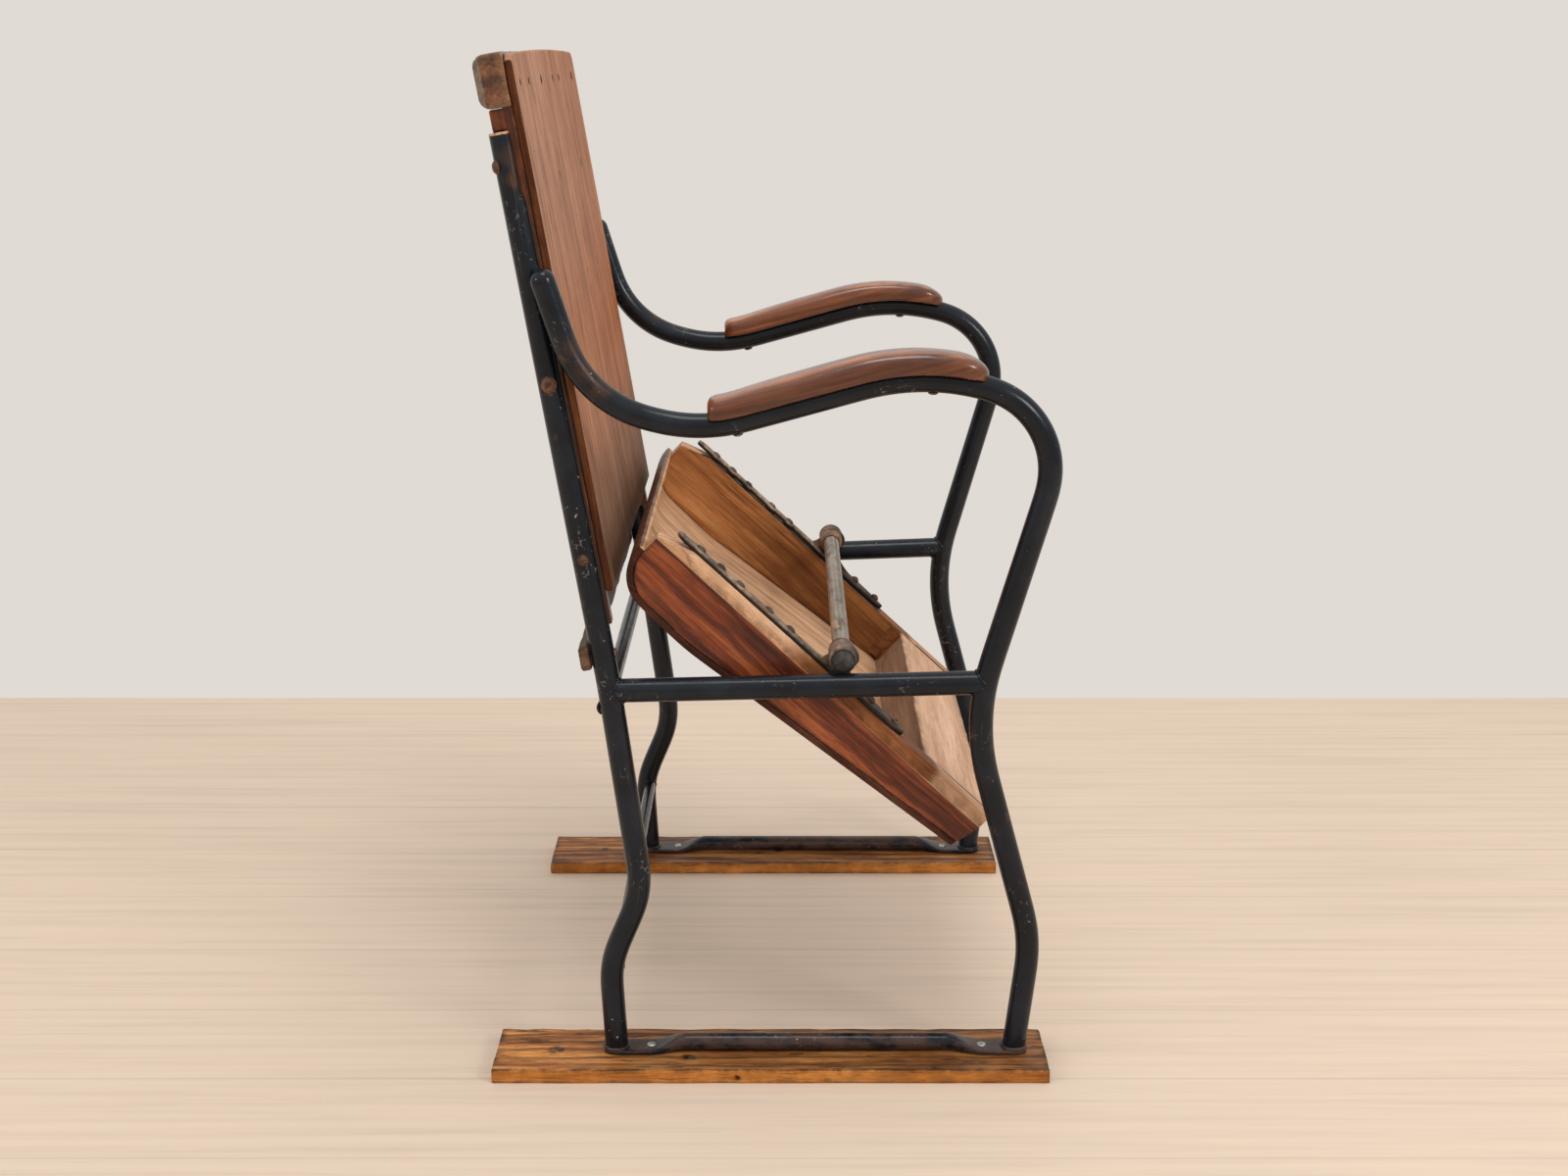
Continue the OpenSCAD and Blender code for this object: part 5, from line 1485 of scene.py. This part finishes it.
def lathe(profile, count=56, swell=None):
    """A closed profile of (sideways, radius) places turned about the tube's axis."""
    rings = []
    for y, r in profile:
        reach = [r + (swell(y, math.degrees(a), r) if swell else 0.0) for a in round_angles(count)]
        rings.append([(q*math.cos(a), y, q*math.sin(a)) for q, a in zip(reach, round_angles(count))])
    return skin(rings + [rings[0]], capped=False)

def tooth(low, high, r_in, r_out, start, end, chamfer=0.7):
    """Part of a ring between two angles in degrees, with chamfered corners."""
    c = chamfer
    section = [(r_in, low), (r_out - c, low), (r_out, low + c), (r_out, high - c), (r_out - c, high),
               (r_in, high)]
    return skin([[(r*math.cos(a), y, r*math.sin(a)) for r, y in section]
                 for a in np.radians(np.linspace(start, end, 30))])

def together(*parts):
    """Several skins as one list of points and one of faces."""
    points, faces, start = [], [], 0
    for some_points, some_faces in parts:
        points.append(some_points)
        faces += [tuple(i + start for i in face) for face in some_faces]
        start += len(some_points)
    return np.concatenate(points), faces

def carved(obj, *cutters):
    """Cuts other solids out of a piece and keeps it a plain mesh."""
    for cutter in cutters:
        step = obj.modifiers.new("cut", "BOOLEAN")
        step.operation, step.solver, step.object = "DIFFERENCE", "EXACT", cutter
    mesh = evaluated_mesh(obj)
    obj.modifiers.clear()
    obj.data = mesh
    for cutter in cutters:
        bpy.data.objects.remove(cutter)
    return obj

print("strap screws at", [round(u) for u in STRAP_SCREWS + LEAF_SCREWS])

# %% [markdown]
# The irons have gone brown: dark grime, rust and places rubbed to grey metal lie side by side. One
# recipe of a few noises makes them all, and each iron gets its own colours.

# %% Worn iron and steel
def worn_iron(name, dark, middle, light, rust, grime=0.5, metal=0.35, gloss=0.5, streak=None, chips=0.0,
              squash=(1, 1, 1), tints=()):
    """squash draws the pattern out along an axis, and streak adds lines at a scale of its own."""
    iron = Finish(name, Metallic=metal)
    place = iron.place(scale=squash)
    fine = place.noise(210.0, 5.0, 0.6)
    tone = place.noise(38.0, 5.0, 0.65)*0.6 + fine*0.4
    if streak is not None:
        tone = tone*0.45 + iron.place(scale=streak).noise(1.0, 4.0, 0.6)*0.55
    rusty = place.noise(62.0, 6.0, 0.7).fade(0.50, 0.62)
    dirt = iron.place(shift=(3, 1, 2), scale=squash).noise(55.0, 5.0, 0.6).fade(0.50, 0.64)
    chip = place.noise(95.0, 2.0, 0.4).fade(0.67, 0.70)
    colour = tone.ramp((0.36, dark), (0.49, middle), (0.62, light))
    colour = colour.mixed(rusty*0.65, rust).mixed(dirt*grime, shade(dark, 0.45))
    colour = colour.mixed(chip*chips, (0.55, 0.40, 0.28))
    for region, tint in tints:
        colour = colour.mixed(region(iron, iron.place(), iron.place(turn=ALONG_SEAT)), tint, "MULTIPLY")
    iron.give(Base_Color=colour, Roughness=((rusty + dirt)*0.14 + gloss + fine*0.12).clamped())
    iron.bump(place.noise(130.0, 6.0, 0.62)*0.8 + rusty*0.3 - chip*0.4, 0.0006, 0.75)
    return iron.material

def behind_pivot(finish, place, turned):
    """The leaf and hub of a hinge, which kept more of their old dark coat than the strap."""
    return ahead_of_pivot(turned).fade(0.020, -0.012)

def strap_foot_shade(finish, place, turned):
    """The lower part of a strap's side, against the rail, made near black as painted shade."""
    return facing("Y", 0.45, 0.8)(finish, place, turned)*up_from_pivot(turned).fade(0.0166, 0.0182)

HINGE_IRON = worn_iron("hinge_iron", (0.085, 0.056, 0.037), (0.26, 0.182, 0.128), (0.48, 0.365, 0.270),
                       (0.22, 0.120, 0.066), chips=0.5,
                       tints=((strap_foot_shade, (0.07, 0.055, 0.05)), (behind_pivot, (0.22, 0.18, 0.155))))
COLLAR_IRON = worn_iron("collar_iron", (0.075, 0.040, 0.022), (0.24, 0.135, 0.080), (0.42, 0.245, 0.145),
                        (0.36, 0.165, 0.075), grime=0.35,
                        tints=((facing("Y", 0.5, 0.85), (0.5, 0.45, 0.4)),))
TUBE_STEEL = worn_iron("tube_steel", (0.105, 0.088, 0.070), (0.270, 0.228, 0.182), (0.46, 0.400, 0.330),
                       (0.19, 0.130, 0.090), grime=0.40, streak=(240, 2.2, 240), chips=0.9,
                       squash=(1, 0.28, 1))
CAP_STEEL = worn_iron("cap_steel", (0.010, 0.009, 0.009), (0.030, 0.027, 0.025), (0.080, 0.072, 0.064),
                      (0.060, 0.032, 0.020), gloss=0.48)
SCREW_IRON = worn_iron("screw_iron", (0.022, 0.015, 0.011), (0.085, 0.056, 0.038), (0.20, 0.14, 0.095),
                       (0.13, 0.060, 0.030), gloss=0.42)
RUSTY_HEAD = worn_iron("rusty_heads", (0.030, 0.014, 0.009), (0.120, 0.055, 0.030), (0.26, 0.135, 0.080),
                       (0.22, 0.085, 0.035), gloss=0.40)
BRIGHT_HEAD = worn_iron("bright_heads", (0.22, 0.21, 0.20), (0.46, 0.45, 0.43), (0.70, 0.69, 0.66),
                        (0.30, 0.20, 0.13), gloss=0.30, grime=0.2, metal=0.7)
# Near-black heads for the sunk panel screws: painted shade in their recesses.
DARK_HOLE = worn_iron("sunk_heads", (0.003, 0.002, 0.002), (0.009, 0.006, 0.005), (0.022, 0.015, 0.011),
                      (0.03, 0.012, 0.006), metal=0.0, gloss=0.85)
print("finishes made so far", len(bpy.data.materials))

# %% Straps with their bosses and slots
LEAF_AT = [-93, -92, -90, -80, -60, -22, -6, 0]              # places along the leaf, and its
LEAF_OUT = [3.0, 3.2, 3.6, 8.5, 11, 11, 10.5, 8.4]           # half widths there: outside,
LEAF_IN = [3.2, 3.6, 4.5, 9, 11, 11, 9.5, 8.0]               # and inside
LEAF_BLUNT, TIP_R, BOSS_R = 3.4, 6.0, 8.0
STRAP_OUT, STRAP_IN = 7.8, 4.6       # half widths between the bosses
LEAF_SLOT, TIP_SLOT = (-36, -16, 4.2), (174.6, 178.2, 1.5)       # from, to, half width

def strap_outline():
    """Half widths along the strap: straight outside, scalloped inside, and a leaf behind."""
    at_rear = STRAP_REAR - np.array([0.1, 0.4, 1.0, 1.8])
    at_front = STRAP_FRONT - np.array([4, 2.4, 1.3, 0.5, 0.1])
    outer, inner = [], []
    for u in np.concatenate([-at_rear, np.arange(-90, 176, 2.0), at_front]):
        if u <= 0:
            blunt = quarter((u + STRAP_REAR)/LEAF_BLUNT)
            high, low = np.interp(u, LEAF_AT, LEAF_OUT)*blunt, np.interp(u, LEAF_AT, LEAF_IN)*blunt
        else:
            end = STRAP_FRONT - u
            tip = 4.2*quarter(end/TIP_R) + 0.1
            high, low = min(STRAP_OUT, tip + 3.6*min(1, end/9)), STRAP_IN
            for s in STRAP_SCREWS:
                boss = math.sqrt(max(0.0, BOSS_R**2 - (u - s)**2))
                low = max(low, 9.0*math.exp(-((u - s)/8.5)**2), boss)
            low = min(low + 0.5*math.sin(u*0.31), tip + 4.5*min(1, end/16))
            low += (8.0 - low)*max(0.0, 1 - u/14)
        outer.append((u, high))
        inner.append((u, -low))
    return np.array(inner + outer[::-1])

def strap_place(sign):
    def place(points):
        return seat_place(np.stack([points[:, 1], sign*(STRAP_Y + points[:, 2]), points[:, 0]], axis=1))
    return place

def slot_cutter(place, low, high, half):
    """A bar of a slot's shape, with round ends, right through the strap."""
    turns = np.linspace(-math.pi/2, math.pi/2, 9)
    ends = [(low + half - half*math.cos(a), half*math.sin(a)) for a in turns]
    ends += [(high - half + half*math.cos(a), half*math.sin(a)) for a in turns[::-1]]
    rings = [place(np.array([(at, u, v) for u, v in ends])) for at in (8.0, 26.0)]
    return make_piece("cutter", *skin(rings))

for side, sign in SIDES:
    place = strap_place(sign)
    strap = plate(side + "_hinge_strap", strap_outline(), STRAP_LOW, STRAP_LOW + STRAP_T, 1.1, place,
                  seed=sign, rims=(0.5,))
    carved(strap, slot_cutter(place, *LEAF_SLOT), slot_cutter(place, *TIP_SLOT))
    settle(sharpen(strap, 42), "seat", HINGE_IRON, "iron", side + "_hinge_bracket")
print("strap", size_mm(strap), len(strap.data.polygons), "faces")

# %% Hubs, webs and ribs
LOBE, LOBE_SPREAD, LOBE_H = 208.0, 38.0, 3.3       # the hub's lobe: way and spread in degrees, height
BORE_R, FLANGE_TO = 8.15, 236.5
HUB_PROFILE = [(HUB_IN, BORE_R), (HUB_IN, 11.5), (HUB_IN + 0.8, HUB_R - 0.1), (231.5, HUB_R - 0.1),
               (233.0, HUB_R - 0.6), (234.6, 11.2), (239.5, 11.0), (241.2, 12.2), (244.6, HUB_R - 0.1),
               (HUB_OUT, 11.6), (HUB_OUT, 10.2), (242.6, 9.0), (242.6, BORE_R)]

def hub_swell(y, angle, r):
    """The lobe on the hub's inner flange."""
    away = (angle - LOBE + 180) % 360 - 180
    swell = LOBE_H*math.exp(-(away/LOBE_SPREAD)**2)*(1 - eased_step(y, FLANGE_TO - 3, FLANGE_TO))
    return swell if r > 10 else 0.0

def rib(thick=2.4, top=15.7):
    """A curved rib from the rear of the hub to the leaf."""
    rings = []
    for t in np.linspace(0, 1, 16):
        u, low = -9.0 - 40*t, 3.0 + 11.5*(1 - (1 - t)**2.2)
        rings.append([(u, STRAP_Y + wide, z) for wide, z in ((-thick, low), (thick, low),
                                                             (1.4*thick, top), (-1.4*thick, top))])
    return skin(rings)

def web(low=3.0, high=15.8, inner=HUB_IN - 0.2, outer=229.0):
    """What joins the hub to the strap, widening upwards."""
    rings = []
    for z in np.linspace(low, high, 8):
        wide = 9.0 + 4.0*((z - low)/(high - low))**2
        rings.append([(-wide, inner, z), (wide, inner, z), (wide, outer, z), (-wide, outer, z)])
    return skin(rings)

for side, sign in SIDES:
    start = HUB_TOOTH_FROM - math.degrees(TIP)
    stop = tooth(TOOTH_IN + 0.1, HUB_IN + 0.4, BORE_R, HUB_R - 0.1, start, start + HUB_TOOTH_SPAN)
    points, faces = together(lathe(HUB_PROFILE, swell=hub_swell), web(), rib(), stop)
    hub = make_piece(side + "_hinge_hub", seat_place(sided(points, sign)), faces)
    settle(sharpen(hub, 40), "seat", HINGE_IRON, "iron", side + "_hinge_bracket")
print("hub", size_mm(hub))

# %% Cross tube, collars and caps
tube_half = CAP_OUT - CAP_WALL - 0.2
tube_line = np.array([(0.0, y, 0.0) for y in np.linspace(-tube_half, tube_half, 90)])
tube = pipe("cross_tube", about_tube(tube_line), TUBE_R, TUBE_STEEL, sides=48)
settle(sharpen(tube, 60), "frame", TUBE_STEEL, "bare_steel", "pivot_tube")

COLLAR_PROFILE = [(COLLAR_IN, 8.02), (COLLAR_IN, 9.0), (COLLAR_IN + 1.2, 9.5), (209.5, 10.3), (211.5, 11.4),
                  (213.5, COLLAR_R - 0.1), (218.0, COLLAR_R - 0.1), (219.2, COLLAR_R - 0.5), (219.75, 11.0),
                  (219.75, 8.02)]
CAP_PROFILE = [(CAP_IN, 8.05), (CAP_IN, 9.4), (CAP_IN + 0.5, CAP_R - 0.1), (252.0, CAP_R - 0.1),
               (253.6, 9.2), (255.0, 7.6), (255.8, 5.0), (256.15, 2.2), (CAP_OUT, 0.3),
               (CAP_OUT - CAP_WALL, 0.3), (CAP_OUT - CAP_WALL, 8.05)]
for side, sign in SIDES:
    stop = tooth(219.4, HUB_IN - 0.35, 8.05, COLLAR_R - 0.1, STOP_FROM, STOP_TO)
    points, faces = together(lathe(COLLAR_PROFILE), stop)
    collar = make_piece(side + "_collar", about_tube(sided(points, sign)), faces)
    settle(sharpen(collar, 40), "frame", COLLAR_IRON, "iron", "stop_collars")
    points, faces = lathe(CAP_PROFILE)
    cap = make_piece(side + "_tube_cap", about_tube(sided(points, sign)), faces)
    settle(sharpen(cap, 45), "frame", CAP_STEEL, "bare_steel", "pivot_caps")
print("cross tube", size_mm(tube), "caps reach", CAP_OUT)

# %% [markdown]
# ## Screws, bolts and nuts
# All of them come from one Geometry Nodes tree. Each point says which way its screw faces, how far
# it is turned, its size and its kind, and the tree sets one of four heads there. The heads are
# turned shapes, two of them with a slot cut across, made once.

# %% Heads
def turned_head(name, profile, slot=None, sides=24):
    """A head from (radius, height) places, with a slot of some width down to a height."""
    rings = [[(r*math.cos(a), r*math.sin(a), z) for a in round_angles(sides)] for r, z in profile]
    head = make_piece(name, *skin(rings))
    if slot:
        half, bottom = slot[0]/2, slot[1]
        corners = [(-9, -half), (9, -half), (9, half), (-9, half)]
        bar = [[(x, y, z) for x, y in corners] for z in (bottom, 6.0)]
        carved(head, make_piece("cutter", *skin(bar)))
    return sharpen(head, 38)

HEADS = {
    "Round": turned_head("round_head", [(4.9, -0.3), (5.0, 0.2), (4.7, 0.9), (3.9, 1.6), (2.7, 2.1),
                                        (1.2, 2.35), (0.05, 2.4)], slot=(1.15, 1.35)),
    "Flat": turned_head("flat_head", [(3.4, -1.1), (4.0, -0.2), (3.9, 0.12), (2.0, 0.26), (0.05, 0.3)],
                        slot=(0.95, -0.5)),
    "Nut": turned_head("nut", [(4.5, 0.1), (4.7, 0.5), (4.7, 2.8), (4.3, 3.25), (2.5, 3.25), (2.5, 4.3),
                               (2.1, 4.6), (0.05, 4.6)], sides=6),
    "Washer": turned_head("washer", [(6.2, -0.05), (6.3, 0.2), (6.0, 0.55), (0.05, 0.6)]),
}
print("heads", {name: len(head.data.polygons) for name, head in HEADS.items()})

# %% The tree that sets them
def fastener_tree():
    inputs = [(kind, "Object") for kind in HEADS] + [("Finish", "Material")]
    tree, given, result = new_tree("screws_on_points", *inputs)
    points = wire(tree, "GeometryNodeMeshToPoints", {"Mesh": given["Geometry"]})[0]
    read = {}
    for name, kind in (("way", "FLOAT_VECTOR"), ("spin", "FLOAT"), ("size", "FLOAT"), ("kind", "INT")):
        read[name] = wire(tree, "GeometryNodeInputNamedAttribute", {"Name": name}, data_type=kind)[0]
    turn = wire(tree, "FunctionNodeAlignRotationToVector", {"Vector": read["way"]}, axis="Z")[0]
    twist = wire(tree, "FunctionNodeAxisAngleToRotation", {"Axis": (0, 0, 1), "Angle": read["spin"]})[0]
    turn = wire(tree, "FunctionNodeRotateRotation", {"Rotation": turn, "Rotate By": twist},
                rotation_space="LOCAL")[0]
    joined = tree.nodes.new("GeometryNodeJoinGeometry")
    for index, kind in enumerate(HEADS):
        head = wire(tree, "GeometryNodeObjectInfo", {"Object": given[kind]})["Geometry"]
        chosen = wire(tree, "FunctionNodeCompare", {2: read["kind"], 3: index}, data_type="INT",
                      operation="EQUAL")[0]
        placed = wire(tree, "GeometryNodeInstanceOnPoints", {"Points": points, "Selection": chosen,
                      "Instance": head, "Rotation": turn, "Scale": read["size"]})[0]
        put(joined.inputs[0], placed)
    return finished(tree, joined.outputs[0], given, result)

FASTENERS = fastener_tree()
print("tree", FASTENERS.name, "with", len(FASTENERS.nodes), "nodes")

# %% Setting screws
FIRST_SPIN = 37       # every screw is turned by this as well, in degrees

def fasten(name, body, material, slot, node, places, signs=(1, -1)):
    """places: (point in mm, way it faces, kind, size, spin in degrees), given for the left side."""
    points, ways, kinds, sizes, spins = [], [], [], [], []
    for point, way, kind, size, spin in places:
        for sign in signs:
            points.append(tuple(sided(point, sign)*MM))
            ways.append(sided(way, sign))
            kinds.append(list(HEADS).index(kind))
            sizes.append(float(size))
            spins.append(math.radians(sign*(spin + FIRST_SPIN)))
    mesh = bpy.data.meshes.new("points")
    mesh.from_pydata(points, [], [])
    for key, values in (("way", ways), ("kind", kinds), ("size", sizes), ("spin", spins)):
        keep(mesh, key, values)
    return settle(grown(FASTENERS, mesh, name, {**HEADS, "Finish": material}), body, material, slot, node)

print("kinds of head:", {kind: number for number, kind in enumerate(HEADS)})

# %% Screws of the skid boards and of the hinge straps
TIE_SCREWS = ((-110.5, 20), (195.0, 65))                     # place along the board, and spin
BOARD_SCREWS = ((-195.0, 1, 15), (-72.0, 17, 70))            # place, distance out from the middle, spin

fasten("tie_screw_heads", "frame", BRIGHT_HEAD, "bare_steel", "tie_screws",
       [((x, HALF_W, FOOT_Z + 0.1), (0, 0, 1), "Round", 0.86, spin) for x, spin in TIE_SCREWS])
fasten("board_screw_heads", "frame", SCREW_IRON, "iron", "board_screws",
       [((x, HALF_W + y, SKID_T + 0.1), (0, 0, 1), "Flat", 1.0, spin) for x, y, spin in BOARD_SCREWS])
seat_down = on_seat((0, 0, -1)) - on_seat((0, 0, 0))
strap_places = []
for places, kind, size, turn in ((STRAP_SCREWS, "Round", 0.98, 31), (LEAF_SCREWS, "Nut", 0.92, 17)):
    for i, u in enumerate(places):
        strap_places.append((on_seat((u, STRAP_Y, STRAP_LOW - 0.05)), seat_down, kind, size, turn*i))
fasten("strap_screw_heads", "seat", SCREW_IRON, "iron", "bracket_screws", strap_places)
print("screws and nuts under the two straps:", 2*len(strap_places))

# %% Bolts through the posts and the slat
LOW_BOLT_Z, ARM_BOLT_Z = 482.0, 635.4
TOP_BOLT_DOWN, TOP_BOLT_OUT = 27.0, math.radians(33)

def post_way(ahead, side, up):
    return on_post((ahead, side, up)) - on_post((0, 0, 0))

post_places = []
for z, head, washer in ((LOW_BOLT_Z, 0.85, 0.8), (ARM_BOLT_Z, 1.2, 1.12)):
    for gap, way, kind, size in ((0.2, 1, "Round", head), (-0.25, 1, "Washer", washer),
                                 (0.1, -1, "Nut", 0.8)):
        place = (post_x(z), HALF_W + way*(PIPE_R + gap), z)
        post_places.append((place, (0, way, 0), kind, size, z))
out = np.array([-math.cos(TOP_BOLT_OUT), math.sin(TOP_BOLT_OUT), 0.0])
top_bolt = np.array([0, HALF_W, post_length - TOP_BOLT_DOWN])
for kind, size, gap in (("Round", 1.1, 0.1), ("Washer", 0.95, -0.3)):
    post_places.append((on_post(top_bolt + out*(PIPE_R + gap)), post_way(*out), kind, size, 10))
fasten("post_bolt_heads", "frame", RUSTY_HEAD, "iron", "post_bolts", post_places)
fasten("slat_bolt_heads", "frame", SCREW_IRON, "iron", "slat_bolts",
       [(on_post((PIPE_R + 0.1, HALF_W, slat_up)), post_way(1, 0, 0), "Round", 0.88, 45)])
print("heads, washers and nuts on the two posts:", 2*len(post_places))

# %% Screws of the arm pads and of the panel
PAD_SCREWS = (-27.0, 138.0)

def under_arm(x):
    """The point below the arm's pipe at x, and the way down from the pipe there."""
    upper = arm_line[(arm_line[:, 1] > 560) & (arm_line[:, 0] < 200)]
    i = int(np.argmin(np.abs(upper[:, 0] - x)))
    way = upper[i + 1] - upper[i - 1]
    down = np.array([way[1], 0, -way[0]])/np.linalg.norm(way)
    down *= -1 if down[2] > 0 else 1
    at = np.array([upper[i, 0], 0, upper[i, 1]]) + down*(PIPE_R - 0.1)
    return on_arm(at), on_arm(at + down) - on_arm(at)

fasten("pad_screw_heads", "frame", SCREW_IRON, "iron", "pad_screws",
       [(*under_arm(x), "Round", 0.9, 10 + x) for x in PAD_SCREWS])
fasten("panel_screw_heads", "frame", DARK_HOLE, "iron", "panel_screws",
       [(on_post((PANEL_FRONT + 0.1, y, screw_row)), post_way(1, 0, 0), "Flat", size, 40*i)
        for i, (y, size) in enumerate(PANEL_SCREWS)], signs=(1,))
for head in HEADS.values():
    bpy.data.objects.remove(head)
print("measured nodes still shown:", [n for n, o in frame["nodes"].items() if not o.hide_render])
